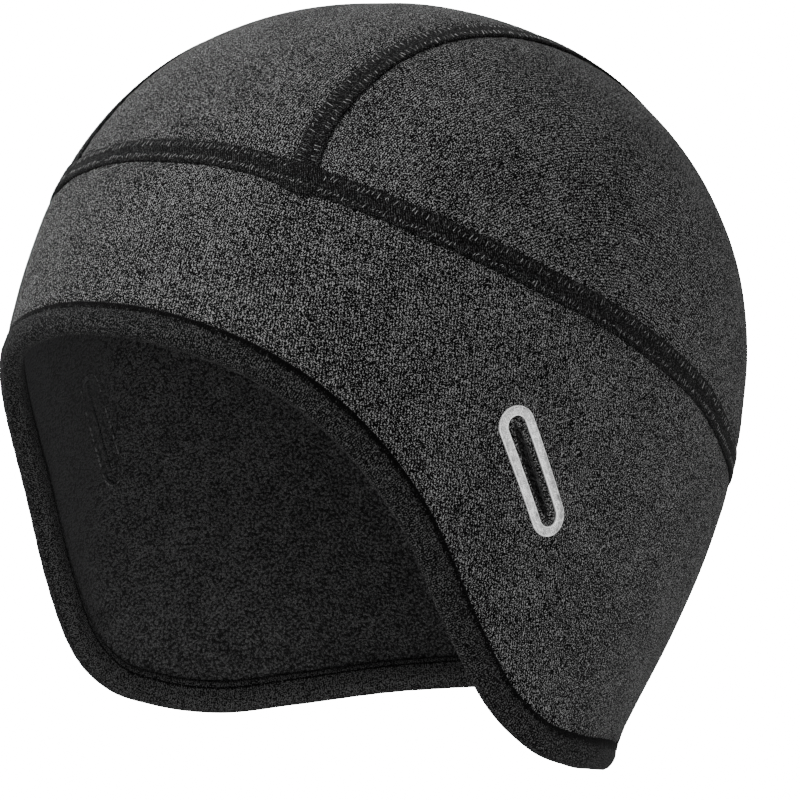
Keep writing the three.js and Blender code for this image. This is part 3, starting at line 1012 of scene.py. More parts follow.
@dataclass(frozen=True)
class Fleece:
    """Black fleece with a short pebbled nap; in front of the temples its grain is painted to an
    even tone as painted sheen, and its relief is flattened.
    """

    pebble: float = 0.66
    stray: float = 1.1
    lump_share: float = 0.14
    nap_share: float = 0.62
    matted_share: float = 0.12
    level: float = 0.455
    stops: Stops = ((0.36, 0.004), (0.43, 0.025), (0.50, 0.056), (0.62, 0.14))
    relief: float = 0.55
    sheen_patch_edge: tuple[float, float] = (-26.0, -8.0)
    sheen_patch_share: float = 0.3

    def material(self) -> bpy.types.Material:
        """Builds the node material.

        Returns:
            The material.
        """
        g = Graph("black_fleece")
        place = g.object_place()
        bend = g.add("TexNoise", None, Vector=place, Scale=500.0, Detail=2.0).outputs["Color"]
        nudge = g.add("VectorMath", {"operation": "SCALE"}, Vector=Signal(g, bend),
                      Scale=self.stray * MM)
        moved = g.blend("VectorMath", "ADD", place, Signal(g, nudge.outputs[0]))
        cells = g.add("TexVoronoi", {"feature": "SMOOTH_F1"}, Vector=moved,
                      Scale=1 / (self.pebble * MM), Smoothness=0.35)
        lump = Signal(g, cells.outputs[0]).span(0.34, 0.72, 1.0, 0.0)
        nap = g.noise(place, 4000, 1.0, 0.6)
        tone = lump * self.lump_share + nap * self.nap_share
        tone = tone + g.noise(place, 160, 2) * self.matted_share
        # Painted sheen: in front of the temples the tone is pulled to an even level, as grazing
        # sheen washes out the grain; the relief there is really flattened as well.
        start, end = (edge * MM for edge in self.sheen_patch_edge)
        rough = g.separate(place)[1].span(start, end, self.sheen_patch_share, 1.0)
        tone = (tone - self.level) * rough + self.level
        height = (lump * 0.8 + nap * 0.3) * rough
        return g.finish(
            g.ramp(tone, self.stops), g.bump(height, self.relief), 0.95, Sheen_Weight=0.12,
            Sheen_Roughness=0.5, Sheen_Tint=(0.75, 0.75, 0.78, 1), Specular_IOR_Level=0.1)


@dataclass(frozen=True)
class ReflectiveFilm:
    """Silver film with a fine grain of glass beads and painted highlights along its rims."""

    tone: float = 0.40
    rim: float = 0.17
    rim_painted_highlight: float = 0.18

    def material(self) -> bpy.types.Material:
        """Builds the node material.

        Returns:
            The material.
        """
        g = Graph("silver_reflective_film")
        place = g.object_place()
        beads = g.noise(place, 3800, 2, 0.6)
        worn = g.noise(place, 520, 3, 0.7)
        _, across = g.cloth_map()
        tone = beads * 0.5 + worn * 0.5
        # Painted highlight: the tone is raised along both rims of the loop.
        tone = tone + across.off(0.5).span(0.5 - self.rim, 0.46, 0.0, self.rim_painted_highlight)
        stops = ((0.42, self.tone * 0.6), (0.5, self.tone), (0.60, self.tone * 2.5))
        return g.finish(
            g.ramp(tone, stops), g.bump(beads, 0.03), worn.span(0.3, 0.7, 0.26, 0.42),
            Metallic=0.6, Specular_IOR_Level=0.5)


@dataclass(frozen=True)
class Plaster:
    """Plain pale surface of the floor and backdrop."""

    tone: float = 0.86
    glow: float = 20.0

    def material(self) -> bpy.types.Material:
        """Builds the node material.

        Returns:
            The material.
        """
        g = Graph("pale_backdrop")
        mottle = g.noise(g.object_place(), 3.0, 2)
        colour = g.ramp(mottle, ((0.3, self.tone * 0.99), (0.7, self.tone)))
        return g.finish(colour, None, 0.9, Specular_IOR_Level=0.0, Emission_Color=(1, 1, 1, 1),
                        Emission_Strength=self.glow)


@dataclass
class Finishes:
    """The materials of the cap, each made once."""

    heather: bpy.types.Material = field(default_factory=HeatherKnit().material)
    binding: bpy.types.Material = field(default_factory=RibKnit().material)
    tape: bpy.types.Material = field(default_factory=TapeKnit().material)
    thread: bpy.types.Material = field(default_factory=Thread().material)
    dark_thread: bpy.types.Material = field(
        default_factory=Thread("lining_thread", pale=0.11).material)
    fleece: bpy.types.Material = field(default_factory=Fleece().material)
    film: bpy.types.Material = field(default_factory=ReflectiveFilm().material)


def dress(
    piece: bpy.types.Object, material: bpy.types.Material, slot: Slot, *nodes: str
) -> bpy.types.Object:
    """Gives a piece its material and its place in the frame.

    Args:
        piece: the finished piece.
        material: its material.
        slot: the record's material slot; not used.
        nodes: the CAD nodes that it stands for.

    Returns:
        The piece.
    """
    piece.data.materials.clear()
    piece.data.materials.append(material)
    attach(piece, BODY)
    if nodes:
        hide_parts(*nodes)
    log.info("%s: %d faces", piece.name, len(piece.data.polygons))
    return piece


def mirror_copy(piece: bpy.types.Object, name: str) -> bpy.types.Object:
    """A copy of a left piece for the right side, with its own mesh and its faces outward.

    Args:
        piece: the left piece.
        name: the copy's name.

    Returns:
        The copy.
    """
    mesh = piece.data.copy()
    mesh.name = name
    mesh.transform(Matrix.Scale(-1, 4, (1, 0, 0)))
    mesh.flip_normals()
    copy = bpy.data.objects.new(name, mesh)
    bpy.context.scene.collection.objects.link(copy)
    return copy


# ---------------------------------------------------------------- lines of the cap


@dataclass(frozen=True)
class SeamLines:
    """The seams and edges as rows of points, and the relief that they press into the cloth."""

    tape_half: float = 3.3
    tape_dip: float = 0.38
    pillow: float = 0.16
    pucker: float = 0.07
    pucker_pitch: float = 5.2
    hem_rise: float = 6.3
    hem_dip: float = 1.0
    slack_waves: tuple[tuple[float, float], ...] = ((34.0, 0.35), (13.0, 0.10))
    count: int = 900

    def ring(self) -> np.ndarray:
        """Points of the ring seam."""
        b = np.linspace(0, 2 * math.pi, self.count)
        return SKIN.point(b, SKIN.ring_drop(b))

    def edge(self) -> np.ndarray:
        """Points of the lower edge."""
        b = np.linspace(0, 2 * math.pi, self.count)
        return SKIN.point(b, SKIN.edge_drop(b))

    def crown_seam(self, side: Side) -> np.ndarray:
        """Points of one crown seam."""
        x, y = SKIN.crown_seam(side, np.linspace(0, 1, self.count // 3))
        return SKIN.point(*SKIN.crown_place(x, y))

    def taped(self, points: np.ndarray, line: np.ndarray) -> np.ndarray:
        """Relief of the shell beside a taped seam.

        Args:
            points: places on the skin, in millimetres.
            line: the seam's points.

        Returns:
            Heights above the skin.
        """
        gap, along = near_line(points, line)
        dip = -self.tape_dip * (1 - smooth_step(gap, self.tape_half * 0.8, self.tape_half + 2.4))
        swell = self.pillow * np.exp(-(((gap - 9.0) / 4.5) ** 2))
        wave = np.sin(2 * math.pi * along / self.pucker_pitch + 1.7 * np.sin(along / 11.0))
        return dip + swell + self.pucker * wave * np.exp(-(((gap - 4.0) / 3.0) ** 2))

    def bound(self, points: np.ndarray) -> np.ndarray:
        """Relief of the shell beside the binding, under which it dips.

        Args:
            points: places on the skin, in millimetres.

        Returns:
            Heights above the skin.
        """
        gap, along = near_line(points, self.edge())
        dip = -self.hem_dip * (1 - smooth_step(gap, self.hem_rise - 0.4, self.hem_rise + 1.4))
        swell = self.pillow * np.exp(-(((gap - self.hem_rise - 5.0) / 3.5) ** 2))
        wave = np.sin(2 * math.pi * along / (self.pucker_pitch * 1.3) + 1.3 * np.sin(along / 17.0))
        near = np.exp(-(((gap - self.hem_rise - 1.5) / 2.4) ** 2))
        return dip + swell + self.pucker * wave * near

    def slack(self, points: np.ndarray) -> np.ndarray:
        """Slow unevenness of stretched cloth.

        Args:
            points: places on the skin, in millimetres.

        Returns:
            Heights above the skin.
        """
        flat = points.reshape(-1, 3)
        values = [sum(noise.noise(Vector(p) / size) * height for size, height in self.slack_waves)
                  for p in flat]
        return np.array(values).reshape(points.shape[:-1])


LINES = SeamLines()


@dataclass(frozen=True)
class Path:
    """A line in the skin, given by places, with lengths along it in millimetres.

    Args:
        bearing: its bearings.
        drop: its drops.
        closed: whether it runs round the head.
        reach: how far to both sides of a place its direction there is measured.
    """

    bearing: np.ndarray
    drop: np.ndarray
    closed: bool
    reach: float = 0.5

    def length(self) -> float:
        """Its whole length."""
        return float(arc_lengths(SKIN.point(self.bearing, self.drop))[-1])

    def beside(self, along: np.ndarray, rise: np.ndarray) -> Places:
        """Places a distance above it, at lengths along it.

        Args:
            along: lengths along it.
            rise: the distance at each.

        Returns:
            The places.
        """
        lengths = arc_lengths(SKIN.point(self.bearing, self.drop))
        if self.closed:
            along = np.mod(along, lengths[-1])

        def place(length: np.ndarray) -> Places:
            """Bearing and drop at lengths along the path."""
            return np.interp(length, lengths, self.bearing), np.interp(length, lengths, self.drop)

        bearing, drop = place(along)
        ahead = place(np.minimum(along + self.reach, lengths[-1]))
        behind = place(np.maximum(along - self.reach, 0))
        way = (ahead[0] - behind[0], ahead[1] - behind[1])
        return SKIN.beside(bearing, drop, way, rise)

    def sweep(
        self, name: str, along: np.ndarray, rise: np.ndarray, outward: np.ndarray,
        across: np.ndarray,
    ) -> bpy.types.Object:
        """Makes a closed strip that follows it.

        Args:
            name: the piece's name.
            along: lengths along it, one for each ring of the strip.
            rise: how far above it each point of each ring lies.
            outward: each point's height outside the skin.
            across: each point's place across the flat cloth, in millimetres.

        Returns:
            The strip.
        """
        lengths = np.repeat(along[:, None], rise.shape[1], 1)
        bearing, drop = self.beside(lengths.ravel(), rise.ravel())
        rings = SKIN.layer(bearing, drop, outward.ravel()).reshape(*rise.shape, 3)
        flat = np.stack([lengths, np.broadcast_to(across, rise.shape)], -1) * MM
        return tube_section(name, rings, flat, self.length() * MM if self.closed else 0.0)


def ring_path() -> Path:
    """The ring seam as a path."""
    b = np.linspace(math.pi, 3 * math.pi, 1201)
    return Path(b, SKIN.ring_drop(b), True)


def edge_path() -> Path:
    """The lower edge as a path."""
    b = np.linspace(math.pi, 3 * math.pi, 1601)
    return Path(b, SKIN.edge_drop(b), True)


def crown_seam_path(side: Side) -> Path:
    """A crown seam as a path, from front to back.

    Args:
        side: the wearer's side.

    Returns:
        The path.
    """
    x, y = SKIN.crown_seam(side, np.linspace(0, 1, 401))
    bearing, drop = SKIN.crown_place(x, y)
    return Path(bearing, drop, False)


# ---------------------------------------------------------------- shell panels


@dataclass
class Shell:
    """The heather panels: the middle and side panels of the crown and the side band."""

    cloth: float = 1.0
    cell: float = 1.7
    centre_grid: tuple[float, float] = (262, 82)
    side_grid: tuple[float, float] = (205, 86)
    band_depth: float = 78
    centre_flat: tuple[float, float] = (0.090, 0.262)
    side_flats: dict[Side, tuple[float, float]] = field(default_factory=lambda: {
        Side.LEFT: (0.088, 0.205), Side.RIGHT: (0.082, 0.205)})
    side_areas: dict[Side, float] = field(default_factory=lambda: {
        Side.LEFT: 0.0124, Side.RIGHT: 0.0114})
    band_flat: tuple[float, float] = (0.600, 0.106)
    band_area: float = 0.0392
    band_reach: float = 86.0
    top_rises: tuple[float, ...] = (-0.15, -1.6, -3.0, -4.2, -5.6, -7.4)
    low_rises: tuple[float, ...] = (12.0, 10.0, 8.6, 7.6, 6.9, 6.2, 5.4, 4.0, 2.2)

    def relief(self, bearing: np.ndarray, drop: np.ndarray) -> np.ndarray:
        """Height of the outer face above the skin at each place.

        Args:
            bearing: bearings, in radians.
            drop: drops, in millimetres.

        Returns:
            The heights.
        """
        points = SKIN.point(bearing, drop)
        total = LINES.slack(points) + LINES.taped(points, LINES.ring())
        for side in Side:
            total = total + LINES.taped(points, LINES.crown_seam(side))
        return total + LINES.bound(points)

    def panel(
        self, name: str, places: Places, flat: np.ndarray, girth: float = 0.0
    ) -> bpy.types.Object:
        """Makes one panel from a grid of places and its cloth map.

        Args:
            name: the piece's name.
            places: the grid of places.
            flat: each one's place in the flat cloth, in metres.
            girth: the flat cloth's width if it closes on itself, or 0.

        Returns:
            The panel.
        """
        bearing, drop = places
        relief = self.relief(bearing, drop)
        outside = SKIN.layer(bearing, drop, relief)
        inside = SKIN.layer(bearing, drop, relief - self.cloth)
        return cloth_wall(name, outside, inside, flat, girth)

    def crown_centre(self) -> bpy.types.Object:
        """Middle panel, between the two crown seams.

        Returns:
            The panel.
        """
        rows, columns = (round(size / self.cell) for size in self.centre_grid)
        along = np.linspace(0, 1, rows + 1)
        left, right = (SKIN.crown_seam(side, along)[0][:, None] for side in Side)
        x = right + (left - right) * np.linspace(0, 1, columns + 1)[None, :]
        front_y, back_y = -np.sqrt(1 - x[:1] ** 2), np.sqrt(1 - x[-1:] ** 2)
        places = SKIN.crown_place(x, front_y + (back_y - front_y) * along[:, None])
        points = SKIN.point(*places)
        middle = points[:, columns // 2]
        v = np.repeat(arc_lengths(middle)[:, None], columns + 1, 1)
        across = lengths_across(points)
        u = across - across[:, columns // 2][:, None]
        return self.panel("crown_centre_panel", places, np.stack([u, v], -1) * MM)

    def crown_side(self, side: Side) -> bpy.types.Object:
        """Side panel of the crown.

        Args:
            side: the wearer's side.

        Returns:
            The panel.
        """
        rows, columns = (round(size / self.cell) for size in self.side_grid)
        along = np.linspace(0.006, 0.994, rows + 1)
        seam_x, seam_y = SKIN.crown_seam(side, along)
        front, back = SKIN.junction(side, False), SKIN.junction(side, True)
        bearing = front + (back - front) * along
        share = np.linspace(0, 1, columns + 1)[None, :]
        x = seam_x[:, None] + (np.sin(bearing) - seam_x)[:, None] * share
        y = seam_y[:, None] + (-np.cos(bearing) - seam_y)[:, None] * share
        places = SKIN.crown_place(x, y)
        points = SKIN.point(*places)
        v = np.repeat(arc_lengths(points[:, columns // 2])[:, None], columns + 1, 1)
        flat = np.stack([lengths_across(points), v], -1) * MM
        return self.panel(f"crown_side_panel_{side.label}", places, flat)

    def side_band(self) -> bpy.types.Object:
        """Band below the ring seam, with brow, ear flaps and nape.

        Returns:
            The band.
        """
        columns = round(edge_path().length() / self.cell)
        bearing = SKIN.even_bearings(SKIN.edge_drop, columns) + math.pi
        top = [SKIN.beside_line(SKIN.ring_drop, bearing, rise) for rise in self.top_rises]
        low = [SKIN.beside_line(SKIN.edge_drop, bearing, rise) for rise in self.low_rises]
        shares = np.linspace(0, 1, round(self.band_depth / self.cell) + 2)[1:-1]
        places = as_grid(top + between(top[-1], low[0], shares) + low)
        u = (places[0] - math.pi) * self.band_reach
        flat = np.stack([u, -lengths_across(SKIN.point(*places))], -1) * MM
        return self.panel("side_band_cloth", places, flat, 2 * math.pi * self.band_reach * MM)


# ---------------------------------------------------------------- seam tapes


@dataclass
class SeamTapes:
    """The flat tapes over the ring seam and both crown seams, with their rows of stitches."""

    finishes: Finishes
    half: float = 3.3
    top: float = 0.50
    foot: float = -0.42
    step: float = 1.2
    tee_swell: float = 1.4
    tee_rise: float = 0.35
    tee_reach: float = 5.0
    end_sink: float = 0.42
    stitch_thick: float = 0.105
    stitch_lift: float = 0.04
    stitch_cap: float = 0.07
    stitch_taper: float = 0.45
    stitch_droop: float = 10.4
    stitch_lean: float = 0.3
    stitch_stray: float = 0.26
    pitch_stray: float = 0.14
    ring_rows: tuple[tuple[float, float, float], ...] = ((1.25, 2.35, 1.4), (-2.2, -1.5, 1.0))
    crown_rows: tuple[tuple[float, float, float], ...] = ((1.2, 2.5, 1.45), (-2.5, -1.2, 1.45))
    section: tuple[tuple[float, float], ...] = (
        (-1.0, 0.0), (-1.03, 0.45), (-0.98, 0.8), (-0.86, 0.97), (-0.55, 1.0), (0.0, 0.93),
        (0.55, 1.0), (0.86, 0.97), (0.98, 0.8), (1.03, 0.45), (1.0, 0.0), (0.0, -0.05))

    def strip(
        self, name: str, path: Path, along: np.ndarray, half_low: np.ndarray, lift: np.ndarray
    ) -> bpy.types.Object:
        """Makes a tape along a path.

        Args:
            name: the piece's name.
            path: the seam.
            along: lengths along it.
            half_low: half width below the seam, at each length.
            lift: extra height of the tape's top there.

        Returns:
            The tape.
        """
        across = np.array([a for a, _ in self.section])
        share = np.array([h for _, h in self.section])
        rise = np.where(across < 0, across * half_low[:, None], across * self.half)
        outward = self.foot + share * (self.top - self.foot + lift[:, None] * (share > 0.2))
        return path.sweep(name, along, rise, outward, rise)

    def junctions(self, path: Path) -> np.ndarray:
        """Lengths along the ring path at which the crown seams meet it.

        Args:
            path: the ring path.

        Returns:
            The four lengths.
        """
        lengths = arc_lengths(SKIN.point(path.bearing, path.drop))
        bearings = [SKIN.junction(side, at_back) for side in Side for at_back in (False, True)]
        return np.interp(2 * math.pi + np.array(bearings), path.bearing, lengths)

    def near_junction(self, path: Path, along: np.ndarray) -> np.ndarray:
        """1 where a crown seam meets the ring path, falling to 0 beside it."""
        gaps = np.abs(along[:, None] - self.junctions(path)[None])
        return np.exp(-((gaps.min(1) / self.tee_reach) ** 2))

    def ring_tape(self) -> bpy.types.Object:
        """Tape round the crown, swollen where the crown seams run under it.

        Returns:
            The tape.
        """
        path = ring_path()
        along = np.arange(0, path.length() - self.step * 0.5, self.step)
        near = self.near_junction(path, along)
        half_low = self.half + self.tee_swell * near
        return self.strip("ring_tape", path, along, half_low, self.tee_rise * near)

    def end_lift(self, path: Path, along: np.ndarray) -> np.ndarray:
        """Height of a crown tape's face over its middle's, less than 0 at its ends."""
        ends = np.minimum(along, path.length() - along)
        return -self.end_sink * (1 - smooth_step(ends, 2.6, 5.2))

    def crown_tape(self, side: Side) -> bpy.types.Object:
        """Tape over a crown seam; its ends sink under the ring tape.

        Args:
            side: the wearer's side.

        Returns:
            The tape.
        """
        path = crown_seam_path(side)
        length = path.length()
        along = np.linspace(0.4, length - 0.4, round(length / self.step))
        half_low = np.full_like(along, self.half)
        lift = self.end_lift(path, along)
        return self.strip(f"crown_tape_{side.label}", path, along, half_low, lift)

    def stitch(self) -> tuple[np.ndarray, np.ndarray]:
        """One arched stitch, a unit long, modelled from a cylinder.

        Returns:
            Its points (length, side, height) and its faces, filled up to four corners.
        """
        nothing_selected()
        bpy.ops.mesh.primitive_cylinder_add(
            vertices=6, radius=1.0, depth=1.0, end_fill_type="NGON", rotation=(0, math.pi / 2, 0))
        piece = bpy.context.object
        bpy.ops.object.transform_apply(location=False, rotation=True, scale=False)
        bpy.ops.object.mode_set(mode="EDIT")
        bpy.ops.mesh.select_all(action="DESELECT")
        for end in (1, -1):
            select_where(piece, lambda p, end=end: end * p.x > 0.4)
            bpy.ops.mesh.extrude_region_move(
                TRANSFORM_OT_translate={"value": (end * self.stitch_cap, 0, 0)})
            bpy.ops.transform.resize(value=(1, self.stitch_taper, self.stitch_taper))
        bpy.ops.object.mode_set(mode="OBJECT")
        split = piece.modifiers.new("facets", "TRIANGULATE")
        split.quad_method = "FIXED"
        apply_all(piece)
        points = points_of(piece)
        points[:, 2] -= self.stitch_droop * np.maximum(np.abs(points[:, 0]) - 0.42, 0)
        faces = np.array([list(p.vertices) for p in piece.data.polygons])
        bpy.data.objects.remove(piece)
        return points, faces

    def sew(
        self, name: str, starts: np.ndarray, ends: np.ndarray, up: np.ndarray, thick: float
    ) -> bpy.types.Object:
        """Copies one stitch between pairs of points.

        Args:
            name: the piece's name.
            starts: where each stitch starts, in millimetres.
            ends: where it ends.
            up: the outward direction there.
            thick: the thread's radius.

        Returns:
            The stitches as one piece.
        """
        shape, faces = self.stitch()
        run = ends - starts
        side = np.cross(up, run)
        side /= np.linalg.norm(side, axis=1, keepdims=True)
        middle = (starts + ends) / 2
        points = (
            middle[:, None] + shape[None, :, 0, None] * run[:, None]
            + shape[None, :, 1, None] * thick * side[:, None]
            + shape[None, :, 2, None] * thick * up[:, None])
        shifts = (np.arange(len(starts)) * len(shape))[:, None, None]
        return mesh_piece(name, points.reshape(-1, 3), (faces[None] + shifts).reshape(-1, 3))

    def rows(
        self, name: str, path: Path, margin: float, spans: Sequence[tuple[float, float, float]],
        height: Callable[[np.ndarray], np.ndarray], seed: int,
    ) -> bpy.types.Object:
        """Rows of stitches across a tape.

        Args:
            name: the piece's name.
            path: the seam.
            margin: length left free at both ends of it.
            spans: where a stitch of each row starts and ends across the tape, and its pitch.
            height: height of the stitches at lengths along the seam.
            seed: start of the random unevenness.

        Returns:
            The stitches as one piece.
        """
        chance = np.random.default_rng(seed)
        length = path.length()
        starts, ends, ups = [], [], []
        for low, high, pitch in spans:
            count = round((length - 2 * margin) / pitch)
            along = margin + (np.arange(count) + 0.5) * (length - 2 * margin) / count
            along = along + chance.normal(0, pitch * self.pitch_stray, count)
            if path.closed and low > 0:
                along = along[self.near_junction(path, along) < 0.5]
            slip = chance.normal(0, self.stitch_stray, (3, len(along)))
            outward = height(along)
            ahead = along + (self.stitch_lean + slip[2])
            for points, at, rise in ((starts, along, low + slip[0]), (ends, ahead, high + slip[1])):
                bearing, drop = path.beside(at, rise)
                points.append(SKIN.layer(bearing, drop, outward))
            ups.append(SKIN.normal(bearing, drop))
        starts, ends, ups = (np.concatenate(part) for part in (starts, ends, ups))
        return self.sew(name, starts, ends, ups, self.stitch_thick)

    def ring_stitches(self) -> bpy.types.Object:
        """Stitches of the ring tape.

        Returns:
            The stitches.
        """
        path = ring_path()

        def height(along: np.ndarray) -> np.ndarray:
            """Height of the stitches, which rises where the crown seams run under the tape."""
            return self.top + self.stitch_lift + self.tee_rise * self.near_junction(path, along)

        return self.rows("ring_stitches", path, 0.0, self.ring_rows, height, 3)

    def crown_stitches(self, side: Side) -> bpy.types.Object:
        """Stitches of a crown tape.

        Args:
            side: the wearer's side.

        Returns:
            The stitches.
        """
        path = crown_seam_path(side)

        def height(along: np.ndarray) -> np.ndarray:
            """Height of the stitches, which sinks at the tape's ends."""
            return self.top + self.stitch_lift + self.end_lift(path, along)

        name = f"crown_stitches_{side.label}"
        return self.rows(name, path, self.half + 0.5, self.crown_rows, height, 5)

    def round_crown(self) -> list[bpy.types.Object]:
        """Makes and dresses the ring tape and its stitches.

        Returns:
            Both pieces.
        """
        f = self.finishes
        return [dress(self.ring_tape(), f.tape, Slot.TAPE, "ring_seam_strip"),
                dress(self.ring_stitches(), f.thread, Slot.TAPE)]

    def over_crown(self, side: Side) -> list[bpy.types.Object]:
        """Makes and dresses a crown tape and its stitches.

        Args:
            side: the wearer's side.

        Returns:
            Both pieces.
        """
        f = self.finishes
        return [dress(self.crown_tape(side), f.tape, Slot.TAPE, f"crown_seam_strip_{side.label}"),
                dress(self.crown_stitches(side), f.thread, Slot.TAPE)]


# ---------------------------------------------------------------- slots and loops


@dataclass
class TempleSlot:
    """The slot for glasses at each temple: silver loop, turned cloth edges and stitches inside."""

    finishes: Finishes
    tapes: SeamTapes
    drop: float = 113.6
    bearing: float = math.radians(75.8)
    lean: float = math.radians(29.8)
    length: float = 28.9
    width: float = 5.2
    band: float = 2.5
    slit_length: float = 26.6
    slit_halves: dict[Side, float] = field(
        default_factory=lambda: {Side.LEFT: 1.5, Side.RIGHT: 0.12})
    loop_foot: float = -0.25
    loop_top: float = 0.42
    loop_arc: int = 64
    loop_bevel: float = 0.22
    long_cuts: int = 13
    long_share: float = 0.72
    cutter_arc: int = 48
    cutter_inset: tuple[float, float] = (0.6, 0.5)
    cutter_height: float = 9.0
    cutter_foot: float = -6.5
    rim_points: int = 144
    lip_top: float = 0.18
    lip_swell: float = 0.36
    lip_section: tuple[tuple[float, float], ...] = (
        (0.0, -0.9), (0.06, -0.05), (0.22, 0.75), (0.5, 1.0), (0.78, 0.72), (0.95, -0.2),
        (1.0, -1.3), (0.94, -2.4), (0.7, -2.9), (0.4, -2.9), (0.1, -2.4))
    fold_section: tuple[tuple[float, float], ...] = (
        (0.0, 0.12), (0.35, 0.02), (0.75, 0.05), (1.0, 0.35), (0.7, 0.75), (0.0, 0.7))
    turned_width: float = 4.0
    stitch_pitch: float = 1.5
    stitch_length: float = 1.05
    stitch_thick: float = 0.2

    def on_skin(self, along: np.ndarray, across: np.ndarray, outward: np.ndarray) -> np.ndarray:
        """Points at the left temple from the slot's own directions.

        Args:
            along: distances down the slot from its middle.
            across: distances across it, backward.
            outward: heights outside the skin.

        Returns:
            The points, in millimetres.
        """
        b, d = np.array([self.bearing]), np.array([self.drop])
        round_way, down_way = SKIN.rates(b, d)
        backward = along * math.sin(self.lean) + across * math.cos(self.lean)
        downward = along * math.cos(self.lean) - across * math.sin(self.lean)
        bearing = self.bearing + backward / np.linalg.norm(round_way)
        return SKIN.layer(bearing, self.drop + downward / np.linalg.norm(down_way), outward)

    def oblong(self, name: str, length: float, width: float, arc: int) -> bpy.types.Object:
        """A flat oblong with round ends, made from a disc whose halves are drawn apart.

        Args:
            name: the piece's name.
            length: its whole length.
            width: its width.
            arc: points of the disc.

        Returns:
            The piece, in edit mode.
        """
        nothing_selected()
        bpy.ops.mesh.primitive_circle_add(vertices=arc, radius=width / 2, fill_type="NGON")
        piece = bpy.context.object
        piece.name = piece.data.name = name
        bpy.ops.object.mode_set(mode="EDIT")
        middle = width * 0.02
        for sign in (1, -1):
            select_where(piece, lambda p, s=sign: s * p.x > middle)
            bpy.ops.transform.translate(value=(sign * (length - width) / 2, 0, 0))
        select_where(piece, lambda p: abs(p.x) <= middle)
        bpy.ops.mesh.dissolve_verts()
        bpy.ops.mesh.select_all(action="SELECT")
        return piece

    def loop(self) -> bpy.types.Object:
        """The left loop: a band round the slot with softened rims.

        Returns:
            The loop.
        """
        length, width = self.length + 2 * self.band, self.width + 2 * self.band
        piece = self.oblong("slot_loop_film_left", length, width, self.loop_arc)
        bpy.ops.mesh.inset(thickness=self.band, use_even_offset=True)
        bpy.ops.mesh.delete(type="FACE")
        bpy.ops.mesh.select_all(action="SELECT")
        bpy.ops.mesh.extrude_region_move(
            TRANSFORM_OT_translate={"value": (0, 0, self.loop_top - self.loop_foot)})
        bpy.ops.object.mode_set(mode="OBJECT")
        cuts = piece.modifiers.new("soft_rims", "BEVEL")
        cuts.width, cuts.segments = self.loop_bevel, 3
        cuts.limit_method, cuts.angle_limit = "ANGLE", 1.0
        apply_all(piece)
        self.split_long_sides(piece)
        recalculate(piece)
        points = points_of(piece)
        past = np.maximum(np.abs(points[:, 0]) - (self.length - self.width) / 2, 0)
        across = (np.hypot(past, points[:, 1]) - self.width / 2) / self.band
        corners = np.array([c for face in piece.data.polygons for c in face.vertices])
        cloth = piece.data.uv_layers.new(name="cloth")
        cloth.data.foreach_set("uv", np.stack([points[corners, 0], across[corners]], 1).ravel())
        lay_on(piece, self.on_skin(points[:, 0], points[:, 1], points[:, 2] + self.loop_foot))
        take_up(piece)
        bpy.ops.object.shade_smooth_by_angle(angle=math.radians(50))
        return piece

    def split_long_sides(self, piece: bpy.types.Object) -> None:
        """Cuts the long straight faces, so that they can follow the curve of the temple.

        Args:
            piece: the loop, still flat.
        """
        take_up(piece)
        bpy.ops.object.mode_set(mode="EDIT")
        reach = self.length / 2 * self.long_share
        for place in np.linspace(-reach, reach, self.long_cuts):
            bpy.ops.mesh.select_all(action="SELECT")
            bpy.ops.mesh.bisect(plane_co=(float(place), 0, 0), plane_no=(1, 0, 0))
        bpy.ops.object.mode_set(mode="OBJECT")

    def slit_width(self, side: Side, along: np.ndarray) -> np.ndarray:
        """Half width of a side's slit, which narrows to its ends."""
        share = np.clip(np.abs(along) / (self.slit_length / 2), 0, 1)
        return self.slit_halves[side] * (1 - share**2.6) ** 0.75

    def turned_edges(
        self, name: str, side: Side, shorter: float, wider: float,
        section: Iterable[tuple[float, float]],
    ) -> bpy.types.Object:
        """Makes a cloth edge that runs round a slot and turns in to its slit.

        Args:
            name: the piece's name.
            side: the wearer's side.
            shorter: how far each end of its outer rim stays short of the slot's.
            wider: its outer rim's width as a share of the slot's.
            section: shares of the way from the outer rim to the slit, with heights there.

        Returns:
            The piece.
        """
        turn = np.linspace(0, 2 * math.pi, self.rim_points + 1)[:-1]
        half = np.sign(np.sin(turn))
        rim_along = np.cos(turn) * (self.length / 2 - shorter)
        rim_across = self.oblong_half(rim_along) * half * wider
        slit_along = rim_along * self.slit_length / self.length
        slit_across = self.slit_width(side, slit_along) * half
        rings, heights = [], list(section)
        for share, height in heights:
            along = rim_along + (slit_along - rim_along) * share
            across = rim_across + (slit_across - rim_across) * share
            rings.append(self.on_skin(along, across, np.full_like(along, height)))
        width = np.linspace(0, self.turned_width, len(heights))
        flat = np.stack(np.broadcast_arrays(rim_along[:, None], width), -1) * MM
        closed_girth = 0.2
        return tube_section(name, np.stack(rings, 1) * (side.value, 1, 1), flat, closed_girth)

    def lip(self, side: Side) -> bpy.types.Object:
        """The cloth edges turned into a slot: open on the left, closed on the right.

        Args:
            side: the wearer's side.

        Returns:
            The piece.
        """
        section = ((share, height * self.lip_swell + self.lip_top - self.lip_swell)
                   for share, height in self.lip_section)
        return self.turned_edges(f"slot_lip_{side.label}", side, 0.0, 1.06, section)

    def fold(self) -> bpy.types.Object:
        """The fleece edges that meet behind the right slot, where it lies closed."""
        section = ((share, height - SKIN.wall) for share, height in self.fold_section)
        return self.turned_edges("slot_fold_right", Side.RIGHT, 0.4, 0.85, section)

    def oblong_half(self, along: np.ndarray) -> np.ndarray:
        """Half width of the slot's oblong opening."""
        past = np.maximum(np.abs(along) - (self.length - self.width) / 2, 0)
        return np.sqrt(np.maximum((self.width / 2) ** 2 - past**2, 0))

